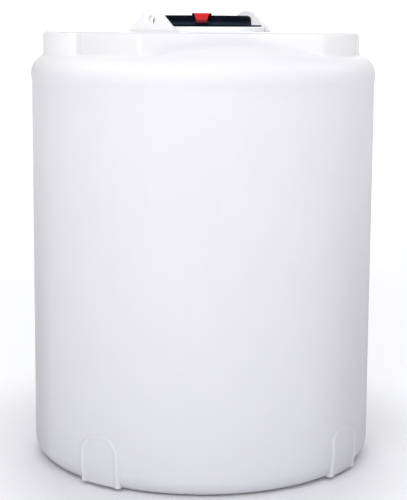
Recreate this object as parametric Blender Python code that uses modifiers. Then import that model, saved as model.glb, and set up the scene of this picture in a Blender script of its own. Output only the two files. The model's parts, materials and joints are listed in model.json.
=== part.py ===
"""Vertical polyethylene storage tank with a raised crown, a hinged manway lid, lifting eyes and tie-down lugs.

Run it with blender --background --python part.py, or from Blender's text editor. Lengths are metres and +Z is up.
The origin is the centre of the base on the floor. A bearing is measured in degrees about the tank's axis, from the
front (-Y) towards the right (+X), so the back is at 180.
"""

import math

import bmesh
import bpy
from mathutils import Matrix, Vector

# The moulded shell.
WALL_RADIUS = 0.700
WALL_THICKNESS = 0.007
KNUCKLE_RADIUS = 0.077
BOTTOM_HEIGHT = 0.100
SEAM_HEIGHT = 1.566
SEAM_RADIUS = 0.7037
SEAM_LIP = 0.011
SHOULDER_RADIUS = 0.085
SHOULDER_TURN = 62.0
WALL_SEGMENTS = 12

# The raised crown: flat front and back faces, and rounded sides between them.
CROWN_FLAT = 0.542
CROWN_SIDE = 0.645
CROWN_LEFT_SIDE = 0.655
CROWN_RIGHT_SIDE = 0.638
CROWN_CORNER = 32.8
PANEL_EDGE = 58.3
CORNER_BLEND = 0.012
STEP_ANGLE = 0.8
DECK_HEIGHT = 1.747
DECK_ROUNDING = 0.016

# The manway and its lid.
LID_BEARING = -13.3
NECK_RADIUS = 0.2500
NECK_BORE = 0.215
NECK_HEIGHT = 0.022
NECK_ROUNDING = 0.009
BRIM_RADIUS = 0.238
BRIM_THICKNESS = 0.006
LID_RADIUS = 0.195
LID_HEIGHT = 0.0445
LID_ROUNDING = 0.017
LID_THICKNESS = 0.005
CLIP_BEARING = 78.7
CLIP_WIDTH = 0.030
CLIP_DEPTH = 0.014
CLIP_HEIGHT = 0.028

# The lid's hinge and latch.
HINGE_RADIUS = 0.275
HINGE_RISE = 0.0315
KNUCKLE_OUTER = 0.008
HINGE_KNUCKLE_WIDTH = 0.030
HINGE_PLATE_THICKNESS = 0.005
HINGE_PLATE_BACK = 0.016
HINGE_TAB_REACH = 0.020
HINGE_PIN_RADIUS = 0.004
PIN_PLAY = 0.0003
EAR_GAP = 0.005
EAR_THICKNESS = 0.008
LATCH_RADIUS = 0.2085
LATCH_RISE = 0.0400
LATCH_KNUCKLE_OUTER = 0.006
LATCH_PIN_RADIUS = 0.003
LATCH_FOOT_WIDTH = 0.040
LATCH_HEAD_WIDTH = 0.060
LATCH_HEIGHT = 0.035
LATCH_THICKNESS = 0.009
LATCH_CORNER = 0.003
LATCH_CLEARANCE = 0.006
LATCH_EAR_THICKNESS = 0.0045
LATCH_EAR_REACH = 0.007
LATCH_EAR_TOP = 0.034
LATCH_BACK_LOW = 0.009
LATCH_BACK_TOP = 0.032
LATCH_BACK_RADIUS = 0.199
LATCH_ROOT_RADIUS = 0.186
BORE_TOOL_LENGTH = 0.12
ROUND_PROUD = 0.0005

# The lifting eyes and the tie-down lugs.
LIFTING_BEARINGS = {"front": -47.8, "back": 134.2}
LIFTING_RADIUS = 0.333
LIFTING_WIDTH = 0.252
LIFTING_HEIGHT = 0.091
LIFTING_THICKNESS = 0.021
EYE_RADIUS = 0.0155
EYE_LAND = 0.044
TIE_BEARINGS = {"front_left": -45.6, "front_right": 43.5, "back_right": 134.4, "back_left": -136.5}
TIE_HALF_WIDTH = 0.095
TIE_FOOT = 0.014
TIE_SPRING = 0.142
TIE_ARCH = 0.073
TIE_BEND = 0.100
TIE_DRAFT = 0.0165
TIE_PANEL = 0.004
TIE_RIB = 0.006
TIE_RIB_PLACE = 0.86
TIE_RIB_SPREAD = 0.09
TIE_BULB = 0.005
TIE_BULB_SPREAD = 0.12
TIE_BULB_HEIGHT = 0.014

GAP = 0.0003
ROUND_STEPS = 72
FACET = 360 / ROUND_STEPS
SHARP_ANGLE = 35.0
PIVOT_SIZE = 0.05
NECK_TOP = DECK_HEIGHT + NECK_HEIGHT


def finish(name, colour, roughness, metallic=0.0):
    """A Principled material of one colour."""
    material = bpy.data.materials.new(name)
    material.use_nodes = True
    shader = material.node_tree.nodes["Principled BSDF"]
    shader.inputs["Base Color"].default_value = (*colour, 1.0)
    shader.inputs["Roughness"].default_value = roughness
    shader.inputs["Metallic"].default_value = metallic
    material.diffuse_color = (*colour, 1.0)
    return material


def clear_scene():
    for item in list(bpy.data.objects):
        bpy.data.objects.remove(item, do_unlink=True)


def collection(name):
    made = bpy.data.collections.new(name)
    bpy.context.scene.collection.children.link(made)
    return made


def at(bearing, radius, height):
    """The point at this bearing, radius and height."""
    turn = math.radians(bearing)
    return Vector((radius * math.sin(turn), -radius * math.cos(turn), height))


def to_object(name, mesh, home, material):
    """Turns a bmesh into a named object with its normals outward."""
    bmesh.ops.recalc_face_normals(mesh, faces=mesh.faces)
    data = bpy.data.meshes.new(name)
    mesh.to_mesh(data)
    mesh.free()
    data.shade_smooth()
    data.set_sharp_from_angle(angle=math.radians(SHARP_ANGLE))
    item = bpy.data.objects.new(name, data)
    if material is not None:
        data.materials.append(material)
    home.objects.link(item)
    return item


def pivot(name, point, home, children, parent=None):
    """An empty on a joint's axis, which carries the pieces that turn about it."""
    empty = bpy.data.objects.new(name, None)
    empty.empty_display_size = PIVOT_SIZE
    home.objects.link(empty)
    empty.location = point
    if parent is not None:
        empty.location = point - parent.location
        empty.parent = parent
    for child in children:
        child.parent = empty
        child.matrix_parent_inverse = Matrix.Translation(-point)
    return empty


def swept(name, bearings, section, home, material, ring=False):
    """Joins a closed loop of (radius, height) points at each bearing into one body."""
    mesh = bmesh.new()
    loops = []
    for bearing in bearings:
        loops.append([mesh.verts.new(at(bearing, radius, height)) for radius, height in section(bearing)])
    following = loops[1:] + loops[:1] if ring else loops[1:]
    for near, far in zip(loops, following):
        for i in range(len(near)):
            j = (i + 1) % len(near)
            mesh.faces.new((near[i], near[j], far[j], far[i]))
    if not ring:
        mesh.faces.new(loops[0])
        mesh.faces.new(loops[-1])
    return to_object(name, mesh, home, material)


def bearings_between(start, end):
    """The bearings that a piece from start to end is built on, a gap's half short of both."""
    trim = math.degrees(GAP / 2 / WALL_RADIUS)
    marks = [n * FACET for n in range(-ROUND_STEPS, ROUND_STEPS + 1)]
    for centre in (0, 180, -180):
        for corner in (-CROWN_CORNER, CROWN_CORNER):
            marks += [centre + corner + turn for turn in (-2.4, -1.2, 0, 1.2, 2.4)]
    for edge in (-PANEL_EDGE, PANEL_EDGE, 180 - PANEL_EDGE, PANEL_EDGE - 180, 180 + PANEL_EDGE):
        marks += [edge - STEP_ANGLE, edge + STEP_ANGLE]
    inside = [mark for mark in set(marks) if start + 0.3 < mark < end - 0.3]
    return [start + trim, *sorted(inside), end - trim]


def smooth_min(a, b, width):
    near = max(width - abs(a - b), 0.0) / width
    return min(a, b) - near * near * width / 4


def ramp(value, start, end):
    return min(max((value - start) / (end - start), 0.0), 1.0)


def crown_radius(bearing, inset=0.0):
    """The crown's outer radius at this bearing."""
    turn = (bearing + 180) % 360 - 180
    side = CROWN_LEFT_SIDE if turn < 0 else CROWN_RIGHT_SIDE
    beside = abs(abs(turn) - 90)
    low = 90 - PANEL_EDGE
    share = ramp(beside, low - STEP_ANGLE, low + STEP_ANGLE)
    rounded = side + (CROWN_SIDE - side) * share - inset
    facing = abs(math.cos(math.radians(turn)))
    return smooth_min((CROWN_FLAT - inset) / max(facing, 0.2), rounded, CORNER_BLEND)


def shoulder_outline(inner_radius, offset):
    """The shoulder's profile from the seam's lip up and inwards to this radius, at this depth below its face."""
    start = SEAM_HEIGHT + GAP
    points = [(SEAM_RADIUS - offset, start)]
    centre = SEAM_RADIUS - SHOULDER_RADIUS
    level = start + SEAM_LIP
    steps = 8
    for i in range(steps + 1):
        turn = math.radians(SHOULDER_TURN * i / steps)
        reach = SHOULDER_RADIUS - offset
        points.append((centre + reach * math.cos(turn), level + reach * math.sin(turn)))
    points.append((inner_radius, dome_height(inner_radius) - offset / math.sin(math.radians(SHOULDER_TURN))))
    return points


def dome_height(radius):
    """The height of the cone that carries on from the shoulder's curve."""
    turn = math.radians(SHOULDER_TURN)
    end_radius = SEAM_RADIUS - SHOULDER_RADIUS * (1 - math.cos(turn))
    end_height = SEAM_HEIGHT + GAP + SEAM_LIP + SHOULDER_RADIUS * math.sin(turn)
    return end_height + (end_radius - radius) / math.tan(turn)


def shoulder_section(bearing):
    inner = crown_radius(bearing) - WALL_THICKNESS
    return shoulder_outline(inner, 0.0) + shoulder_outline(inner, WALL_THICKNESS)[::-1]


def crown_wall_section(bearing):
    """An upright wall that stands on the shoulder and carries the deck's rim."""
    outer = crown_radius(bearing)
    inner = outer - WALL_THICKNESS
    top = DECK_HEIGHT - DECK_ROUNDING - GAP
    return [
        (outer, dome_height(outer) + GAP),
        (outer, top),
        (inner, top),
        (inner, dome_height(inner) + GAP),
    ]


def deck_section(bearing):
    """The deck from the manway's bore out to its rounded rim."""
    outer = crown_radius(bearing)
    points = [(NECK_BORE, DECK_HEIGHT - WALL_THICKNESS), (NECK_BORE, DECK_HEIGHT)]
    steps = 4
    for i in range(steps + 1):
        turn = math.radians(90 - 90 * i / steps)
        radius = outer - DECK_ROUNDING * (1 - math.cos(turn))
        points.append((radius, DECK_HEIGHT - DECK_ROUNDING * (1 - math.sin(turn))))
    inner_rounding = DECK_ROUNDING - WALL_THICKNESS
    for i in range(steps + 1):
        turn = math.radians(90 * i / steps)
        radius = outer - DECK_ROUNDING + inner_rounding * math.cos(turn)
        points.append((radius, DECK_HEIGHT - DECK_ROUNDING + inner_rounding * math.sin(turn)))
    return points


def wall_section(_bearing):
    low = BOTTOM_HEIGHT + GAP
    return [
        (WALL_RADIUS, low),
        (WALL_RADIUS, SEAM_HEIGHT),
        (WALL_RADIUS - WALL_THICKNESS, SEAM_HEIGHT),
        (WALL_RADIUS - WALL_THICKNESS, low),
    ]


def turned(name, profile, home, material):
    """Turns an open profile that starts and ends on the axis, outer side from top to bottom, into a round body."""
    mesh = bmesh.new()
    points = [mesh.verts.new((radius, 0.0, height)) for radius, height in profile]
    for first, second in zip(points, points[1:]):
        mesh.edges.new((first, second))
    data = bpy.data.meshes.new(name)
    mesh.to_mesh(data)
    mesh.free()
    item = bpy.data.objects.new(name, data)
    data.materials.append(material)
    home.objects.link(item)
    screw = item.modifiers.new("turn", "SCREW")
    screw.steps = ROUND_STEPS
    screw.render_steps = ROUND_STEPS
    screw.use_smooth_shade = False
    screw.use_merge_vertices = True
    screw.merge_threshold = 0.0001
    return item


def arc(centre_radius, centre_height, radius, start, end, steps):
    """Points on an arc in the (radius, height) plane. 0 degrees points outwards and 90 degrees up."""
    points = []
    for i in range(steps + 1):
        turn = math.radians(start + (end - start) * i / steps)
        points.append((centre_radius + radius * math.cos(turn), centre_height + radius * math.sin(turn)))
    return points


def bottom_end(home, material):
    """The tank's floor, its rounded edge and the lowest part of its wall."""
    centre = WALL_RADIUS - KNUCKLE_RADIUS
    inner = arc(centre, KNUCKLE_RADIUS, KNUCKLE_RADIUS - WALL_THICKNESS, -90, 0, 8)
    outer = arc(centre, KNUCKLE_RADIUS, KNUCKLE_RADIUS, 0, -90, 8)
    profile = [(0.0, WALL_THICKNESS), *inner, (WALL_RADIUS - WALL_THICKNESS, BOTTOM_HEIGHT)]
    profile += [(WALL_RADIUS, BOTTOM_HEIGHT), *outer, (0.0, 0.0)]
    return turned("bottom_end", profile, home, material)


def shell(home, material):
    """The wall's segments, the shoulder, the crown's walls and the deck."""
    width = 360 / WALL_SEGMENTS
    for i in range(WALL_SEGMENTS):
        start = i * width
        marks = bearings_between(start, start + width)
        even = [mark for mark in marks if abs(mark / FACET - round(mark / FACET)) < 0.01]
        swept(f"wall_segment_{i + 1:02d}", even, wall_section, home, material)
    for side, middle in (("front", 0), ("right", 90), ("back", 180), ("left", -90)):
        half = 45
        marks = bearings_between(middle - half, middle + half)
        swept(f"shoulder_{side}", marks, shoulder_section, home, material)
    walls = {
        "crown_front": (-CROWN_CORNER, CROWN_CORNER),
        "crown_front_right": (CROWN_CORNER, PANEL_EDGE),
        "crown_right": (PANEL_EDGE, 180 - PANEL_EDGE),
        "crown_back_right": (180 - PANEL_EDGE, 180 - CROWN_CORNER),
        "crown_back": (180 - CROWN_CORNER, 180 + CROWN_CORNER),
        "crown_back_left": (CROWN_CORNER - 180, PANEL_EDGE - 180),
        "crown_left": (PANEL_EDGE - 180, -PANEL_EDGE),
        "crown_front_left": (-PANEL_EDGE, -CROWN_CORNER),
    }
    for name, (start, end) in walls.items():
        swept(name, bearings_between(start, end), crown_wall_section, home, material)
    around = bearings_between(-180, 180)[:-1]
    around[0] = -180
    swept("roof_deck", around, deck_section, home, material, ring=True)


def manway_neck(home, material):
    """The raised ring that the lid closes on."""
    low = DECK_HEIGHT + GAP
    top = NECK_TOP
    corner = arc(NECK_RADIUS - NECK_ROUNDING, top - NECK_ROUNDING, NECK_ROUNDING, 0, 90, 4)
    section = [(NECK_BORE, low), (NECK_RADIUS, low), *corner, (NECK_BORE, top)]
    around = [n * FACET for n in range(ROUND_STEPS)]
    return swept("manway_neck", around, lambda _bearing: section, home, material, ring=True)


def box(name, low, high, home, material=None):
    """A box between two corners, in the frame whose -Y is the lid's front."""
    mesh = bmesh.new()
    bmesh.ops.create_cube(mesh, size=1.0)
    size = Vector(high) - Vector(low)
    middle = (Vector(high) + Vector(low)) / 2
    bmesh.ops.scale(mesh, vec=size, verts=mesh.verts)
    bmesh.ops.translate(mesh, vec=middle, verts=mesh.verts)
    return to_object(name, mesh, home, material)


def rod(name, radius, width, centre, home, material=None):
    """A round bar along X, in the frame whose -Y is the lid's front."""
    mesh = bmesh.new()
    bmesh.ops.create_cone(
        mesh, cap_ends=True, segments=24, radius1=radius, radius2=radius, depth=width
    )
    bmesh.ops.rotate(mesh, verts=mesh.verts, matrix=Matrix.Rotation(math.pi / 2, 3, "Y"))
    bmesh.ops.translate(mesh, vec=centre, verts=mesh.verts)
    return to_object(name, mesh, home, material)


def combine(target, other, operation):
    """Adds or cuts another solid, which stays in the file as a hidden helper."""
    other.hide_render = True
    other.display_type = "WIRE"
    step = target.modifiers.new(other.name, "BOOLEAN")
    step.operation = operation
    step.solver = "EXACT"
    step.object = other


def turn_to_lid(*items):
    """Turns pieces built about the lid's front from -Y to the lid's bearing."""
    for item in items:
        item.data.transform(Matrix.Rotation(math.radians(LID_BEARING), 4, "Z"))


def hinge_point():
    return at(LID_BEARING + 180, HINGE_RADIUS, DECK_HEIGHT + HINGE_RISE)


def latch_point():
    return at(LID_BEARING, LATCH_RADIUS, DECK_HEIGHT + LATCH_RISE)


def lid_profile():
    low = NECK_TOP + GAP
    top = NECK_TOP + LID_HEIGHT
    brim_top = low + BRIM_THICKNESS
    edge = arc(LID_RADIUS - LID_ROUNDING, top - LID_ROUNDING, LID_ROUNDING, 90, 0, 5)
    inner_rounding = LID_ROUNDING - LID_THICKNESS
    under = arc(LID_RADIUS - LID_ROUNDING, top - LID_ROUNDING, inner_rounding, 0, 90, 4)
    foot = LID_RADIUS + 0.002
    profile = [(0.0, top), *edge, (foot, brim_top + 0.003), (foot + 0.003, brim_top)]
    profile += [(BRIM_RADIUS - 0.002, brim_top), (BRIM_RADIUS, brim_top - 0.002), (BRIM_RADIUS, low)]
    profile += [(LID_RADIUS - LID_THICKNESS, low), *under, (0.0, top - LID_THICKNESS)]
    return profile


def upright(name, outline, front, back, home, material=None):
    """A plate in front of the lid from an outline of (across, above the latch's pin) points."""
    pivot = DECK_HEIGHT + LATCH_RISE
    mesh = bmesh.new()
    near = [mesh.verts.new((x, -front, pivot + z)) for x, z in outline]
    far = [mesh.verts.new((x, -back, pivot + z)) for x, z in outline]
    mesh.faces.new(near)
    mesh.faces.new(far[::-1])
    for i in range(len(outline)):
        j = (i + 1) % len(outline)
        mesh.faces.new((near[i], far[i], far[j], near[j]))
    return to_object(name, mesh, home, material)


def beside_latch(rise):
    """How far from the middle an ear's inner face is at this height above the pin."""
    slope = (LATCH_HEAD_WIDTH - LATCH_FOOT_WIDTH) / 2 / LATCH_HEIGHT
    return LATCH_FOOT_WIDTH / 2 + LATCH_CLEARANCE + slope * max(rise, 0.0)


def latch_ear(side, foot, home):
    """One of the two black ears that hold the latch's pin and flank the lever up to its top."""
    thick = LATCH_EAR_THICKNESS
    outline = [(beside_latch(rise), rise) for rise in (LATCH_EAR_TOP, 0.0, foot)]
    outline += [(beside_latch(rise) + thick, rise) for rise in (foot, 0.0, LATCH_EAR_TOP)]
    outline = [(side * across, rise) for across, rise in outline]
    return upright(f"latch_ear_{side}", outline, LATCH_RADIUS + LATCH_EAR_REACH, LATCH_ROOT_RADIUS, home)


def latch_back(home):
    """The wall behind the lever, between the ears, which rises from the lid's dome."""
    thick = LATCH_EAR_THICKNESS / 2
    low, top = LATCH_BACK_LOW, LATCH_BACK_TOP
    wide, narrow = beside_latch(top) + thick, beside_latch(low) + thick
    outline = [(-narrow, low), (narrow, low), (wide, top), (-wide, top)]
    return upright("latch_back", outline, LATCH_BACK_RADIUS, LATCH_ROOT_RADIUS, home)


def lid(home, helpers, material):
    """The domed lid with its brim, the hinge's knuckle behind it and the latch's ears in front."""
    item = turned("manway_lid", lid_profile(), home, material)
    low = NECK_TOP + GAP
    hinge_height = DECK_HEIGHT + HINGE_RISE
    half = HINGE_KNUCKLE_WIDTH / 2
    tab_top = low + BRIM_THICKNESS + 0.003
    tab_start = (-half, BRIM_RADIUS - HINGE_TAB_REACH, low + 0.0005)
    tab = box("lid_tab", tab_start, (half, HINGE_RADIUS, tab_top), helpers)
    width = 2 * half + ROUND_PROUD
    knuckle = rod("lid_knuckle", KNUCKLE_OUTER, width, (0, HINGE_RADIUS, hinge_height), helpers)
    bore_radius = HINGE_PIN_RADIUS + PIN_PLAY
    bore = rod("lid_bore", bore_radius, BORE_TOOL_LENGTH, (0, HINGE_RADIUS, hinge_height), helpers)
    pieces = [tab, knuckle]
    pivot = DECK_HEIGHT + LATCH_RISE
    for side in (-1, 1):
        pieces.append(latch_ear(side, low + 0.002 - pivot, helpers))
    pieces.append(latch_back(helpers))
    centre = (0, -LATCH_RADIUS, pivot)
    pin_bore = rod("latch_bore", LATCH_PIN_RADIUS + PIN_PLAY, BORE_TOOL_LENGTH, centre, helpers)
    turn_to_lid(*pieces, bore, pin_bore)
    for piece in pieces:
        combine(item, piece, "UNION")
    combine(item, bore, "DIFFERENCE")
    combine(item, pin_bore, "DIFFERENCE")
    return item


def hinge_bracket(home, helpers, material):
    """The base plate behind the neck with the two ears that hold the lid's pin."""
    low = DECK_HEIGHT + GAP
    near = HINGE_KNUCKLE_WIDTH / 2 + EAR_GAP
    far = near + EAR_THICKNESS
    back = HINGE_RADIUS + HINGE_PLATE_BACK
    corners = ((-far, NECK_RADIUS + 0.002, low), (far, back, low + HINGE_PLATE_THICKNESS))
    item = box("lid_hinge_bracket", *corners, home, material)
    height = DECK_HEIGHT + HINGE_RISE
    parts = []
    for side in (-1, 1):
        edges = sorted((side * near, side * far))
        front, behind = HINGE_RADIUS - KNUCKLE_OUTER, HINGE_RADIUS + KNUCKLE_OUTER
        ear = box(f"hinge_ear_{side}", (edges[0], front, low + 0.002), (edges[1], behind, height), helpers)
        middle = side * (near + far) / 2
        width = far - near + ROUND_PROUD
        head = rod(f"hinge_head_{side}", KNUCKLE_OUTER, width, (middle, HINGE_RADIUS, height), helpers)
        parts += [ear, head]
    centre = (0, HINGE_RADIUS, height)
    bore = rod("hinge_bore", HINGE_PIN_RADIUS + PIN_PLAY, BORE_TOOL_LENGTH, centre, helpers)
    turn_to_lid(item, bore, *parts)
    for part in parts:
        combine(item, part, "UNION")
    combine(item, bore, "DIFFERENCE")
    return item


def latch(home, helpers, material):
    """The lever in front of the lid, wider towards its top, with a bored knuckle at its foot."""
    foot = LATCH_FOOT_WIDTH / 2
    head = LATCH_HEAD_WIDTH / 2
    top = LATCH_HEIGHT
    right = [(foot, 0.0), (head, top - LATCH_CORNER), (head - LATCH_CORNER, top)]
    outline = right + [(-across, rise) for across, rise in right[::-1]]
    half = LATCH_THICKNESS / 2
    item = upright("latch_lever", outline, LATCH_RADIUS + half, LATCH_RADIUS - half, home, material)
    pivot = DECK_HEIGHT + LATCH_RISE
    centre = (0, -LATCH_RADIUS, pivot)
    width = LATCH_FOOT_WIDTH + ROUND_PROUD
    knuckle = rod("latch_knuckle", LATCH_KNUCKLE_OUTER, width, centre, helpers)
    bore = rod("latch_lever_bore", LATCH_PIN_RADIUS + PIN_PLAY, BORE_TOOL_LENGTH, centre, helpers)
    turn_to_lid(item, knuckle, bore)
    combine(item, knuckle, "UNION")
    combine(item, bore, "DIFFERENCE")
    return item


def pins(home, material):
    """The hinge's pin, and the latch's pin, which is handed back because it turns with the lid."""
    hinge_width = HINGE_KNUCKLE_WIDTH + 2 * (EAR_GAP + EAR_THICKNESS) + 0.004
    hinge_centre = (0, HINGE_RADIUS, DECK_HEIGHT + HINGE_RISE)
    hinge = rod("lid_hinge_pin", HINGE_PIN_RADIUS, hinge_width, hinge_centre, home, material)
    latch_width = 2 * (beside_latch(0.0) + LATCH_EAR_THICKNESS) + 0.002
    latch_centre = (0, -LATCH_RADIUS, DECK_HEIGHT + LATCH_RISE)
    pin = rod("latch_pin", LATCH_PIN_RADIUS, latch_width, latch_centre, home, material)
    turn_to_lid(hinge, pin)
    return pin


def neck_clip(home, material):
    """The small bracket at the neck's right side."""
    low = DECK_HEIGHT + GAP
    half = CLIP_WIDTH / 2
    inner = NECK_RADIUS + 0.0007
    corners = ((-half, -inner - CLIP_DEPTH, low), (half, -inner, low + CLIP_HEIGHT))
    item = box("neck_clip", *corners, home, material)
    item.data.transform(Matrix.Rotation(math.radians(CLIP_BEARING), 4, "Z"))
    return item


def lifting_outline():
    """The lifting eye's plate, as (across, up) points: a foot, two slopes and a round top about the eye."""
    centre = LIFTING_HEIGHT - EYE_LAND
    half = LIFTING_WIDTH / 2
    tangent = math.acos(EYE_LAND / math.hypot(half, centre)) - math.atan2(centre, half)
    first = math.degrees(tangent)
    steps = 12
    points = [(-half, 0.0), (half, 0.0)]
    for i in range(steps + 1):
        turn = math.radians(first + (180 - 2 * first) * i / steps)
        points.append((EYE_LAND * math.cos(turn), centre + EYE_LAND * math.sin(turn)))
    return points


def lifting_eyes(home, material):
    """Two plates that stand on the deck, each with a round eye."""
    centre = LIFTING_HEIGHT - EYE_LAND
    for side, bearing in LIFTING_BEARINGS.items():
        curve = bpy.data.curves.new(f"lifting_eye_{side}", "CURVE")
        curve.dimensions = "2D"
        curve.fill_mode = "BOTH"
        curve.extrude = LIFTING_THICKNESS / 2
        circle = []
        for i in range(24):
            turn = math.radians(15 * i)
            circle.append((EYE_RADIUS * math.cos(turn), centre + EYE_RADIUS * math.sin(turn)))
        for outline in (lifting_outline(), circle):
            line = curve.splines.new("POLY")
            line.points.add(len(outline) - 1)
            for point, (across, up) in zip(line.points, outline):
                point.co = (across, up, 0.0, 1.0)
            line.use_cyclic_u = True
        item = bpy.data.objects.new(f"lifting_eye_{side}", curve)
        curve.materials.append(material)
        home.objects.link(item)
        item.location = at(bearing, LIFTING_RADIUS, DECK_HEIGHT + GAP)
        item.rotation_euler = (math.pi / 2, 0.0, math.radians(bearing))


def tie_radius(across, height):
    """The lug's outer radius: a panel down to the floor, a rib along its sides and arch, and a bulb at each foot."""
    over = max(height - TIE_SPRING, 0.0) / TIE_ARCH
    reach = min(math.hypot(across, over), 1.0)
    rib = math.exp(-(((reach - TIE_RIB_PLACE) / TIE_RIB_SPREAD) ** 2))
    beside = (abs(across) - TIE_RIB_PLACE) / TIE_BULB_SPREAD
    above = (height - TIE_FOOT) / TIE_BULB_HEIGHT
    bulb = math.exp(-(beside**2) - above**2)
    bend = max(TIE_BEND - height, 0.0) / TIE_BEND
    return WALL_RADIUS + TIE_PANEL - TIE_DRAFT * bend**2 + TIE_RIB * rib + TIE_BULB * bulb


def tie_down_lugs(home, material):
    """Four arched lugs moulded over the tank's lower edge, each a panel that comes almost down to the floor."""
    columns = 20
    rows = 14
    centre = WALL_RADIUS - KNUCKLE_RADIUS
    low_turn = math.degrees(math.asin((KNUCKLE_RADIUS - TIE_FOOT) / KNUCKLE_RADIUS))
    foot = arc(centre, KNUCKLE_RADIUS, KNUCKLE_RADIUS + GAP, 0, -low_turn, 6)
    for name, bearing in TIE_BEARINGS.items():
        def section(mark, middle=bearing):
            across = math.radians(mark - middle) * WALL_RADIUS / TIE_HALF_WIDTH
            top = TIE_SPRING + TIE_ARCH * math.sqrt(max(1 - across * across, 0.0))
            heights = [TIE_FOOT + (top - TIE_FOOT) * i / rows for i in range(rows + 1)]
            face = [(tie_radius(across, height), height) for height in heights]
            return face + [(WALL_RADIUS + GAP, top), *foot]

        half = math.degrees(TIE_HALF_WIDTH / WALL_RADIUS)
        marks = [bearing + half * math.sin(math.pi * (i / columns - 0.5)) for i in range(columns + 1)]
        swept(f"tie_down_{name}", marks, section, home, material)


def build():
    clear_scene()
    tank = collection("storage_tank")
    helpers = collection("cutters")
    helpers.hide_render = True
    white = finish("natural_polyethylene", (0.86, 0.87, 0.90), 0.42)
    black = finish("black_lid", (0.012, 0.016, 0.024), 0.38)
    red = finish("red_latch", (0.72, 0.03, 0.03), 0.35)
    grey = finish("grey_bracket", (0.42, 0.44, 0.47), 0.5)
    steel = finish("steel_pin", (0.55, 0.56, 0.58), 0.3, 1.0)
    bottom_end(tank, white)
    shell(tank, white)
    manway_neck(tank, white)
    lifting_eyes(tank, white)
    tie_down_lugs(tank, white)
    neck_clip(tank, grey)
    hinge_bracket(tank, helpers, grey)
    latch_pin = pins(tank, steel)
    manway_lid = lid(tank, helpers, black)
    lever = latch(tank, helpers, red)
    lid_pivot = pivot("lid_pivot", hinge_point(), tank, (manway_lid, latch_pin))
    pivot("latch_pivot", latch_point(), tank, (lever,), parent=lid_pivot)


build()
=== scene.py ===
"""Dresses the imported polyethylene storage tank: one moulded skin, its eyes and lugs, the lid, its latch and hinge.

Lengths are metres and +Z is up. A bearing is measured in degrees about the tank's axis, from the front (-Y) towards
the right (+X), so the back is at 180. A section is a list of (radius, height) points in the plane of one bearing.
"""

from __future__ import annotations

import json
import logging
import math
from dataclasses import dataclass
from enum import Enum
from typing import Iterable, Sequence, Union

import bmesh
import bpy
from mathutils import Matrix, Vector

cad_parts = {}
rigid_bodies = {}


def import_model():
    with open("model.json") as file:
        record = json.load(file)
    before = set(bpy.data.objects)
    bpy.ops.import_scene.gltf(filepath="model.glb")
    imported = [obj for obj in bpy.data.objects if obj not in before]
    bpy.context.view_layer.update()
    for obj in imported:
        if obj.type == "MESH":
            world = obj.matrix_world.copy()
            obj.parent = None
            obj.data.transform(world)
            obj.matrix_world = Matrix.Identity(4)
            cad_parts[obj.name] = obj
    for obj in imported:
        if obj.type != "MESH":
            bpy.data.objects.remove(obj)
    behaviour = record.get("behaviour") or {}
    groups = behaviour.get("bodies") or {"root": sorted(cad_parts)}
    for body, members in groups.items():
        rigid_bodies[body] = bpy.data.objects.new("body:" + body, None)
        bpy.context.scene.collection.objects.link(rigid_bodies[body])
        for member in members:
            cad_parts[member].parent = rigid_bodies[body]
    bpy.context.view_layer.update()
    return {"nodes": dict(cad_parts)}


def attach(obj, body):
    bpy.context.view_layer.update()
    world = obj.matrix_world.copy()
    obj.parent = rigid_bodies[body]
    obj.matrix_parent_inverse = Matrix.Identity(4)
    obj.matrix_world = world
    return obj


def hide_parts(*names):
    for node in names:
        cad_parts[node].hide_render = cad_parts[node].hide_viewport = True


for leftover in list(bpy.data.objects):
    bpy.data.objects.remove(leftover, do_unlink=True)

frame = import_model()

log = logging.getLogger("storage_tank")

Point2 = tuple[float, float]
Point3 = tuple[float, float, float]
Colour = tuple[float, float, float]
Value = Union[float, "Signal"]

BLACK: Colour = (0.0, 0.0, 0.0)
WHITE: Colour = (1.0, 1.0, 1.0)

# Places that several pieces share.
WALL_RADIUS = 0.700
FOOT_ROUNDING = 0.077
CROWN_FLAT = 0.542
DECK_HEIGHT = 1.747
FITTING_HEIGHT = 1.7473
NECK_RADIUS = 0.250
LID_BEARING = -13.3
HINGE_RADIUS = 0.275
HINGE_HEIGHT = 1.7785
HINGE_WIDTH = 0.030

MERGED_WITHIN = 1e-6


class Body(Enum):
    """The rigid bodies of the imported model."""

    TANK = "tank"
    LID = "lid"
    LATCH = "latch"


class Slot(Enum):
    """The record's material slots."""

    WHITE = "white_polyethylene"
    BLACK = "black_lid"
    RED = "red_latch"
    GREY = "grey_bracket"


# Node trees, for materials and for geometry.


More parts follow.
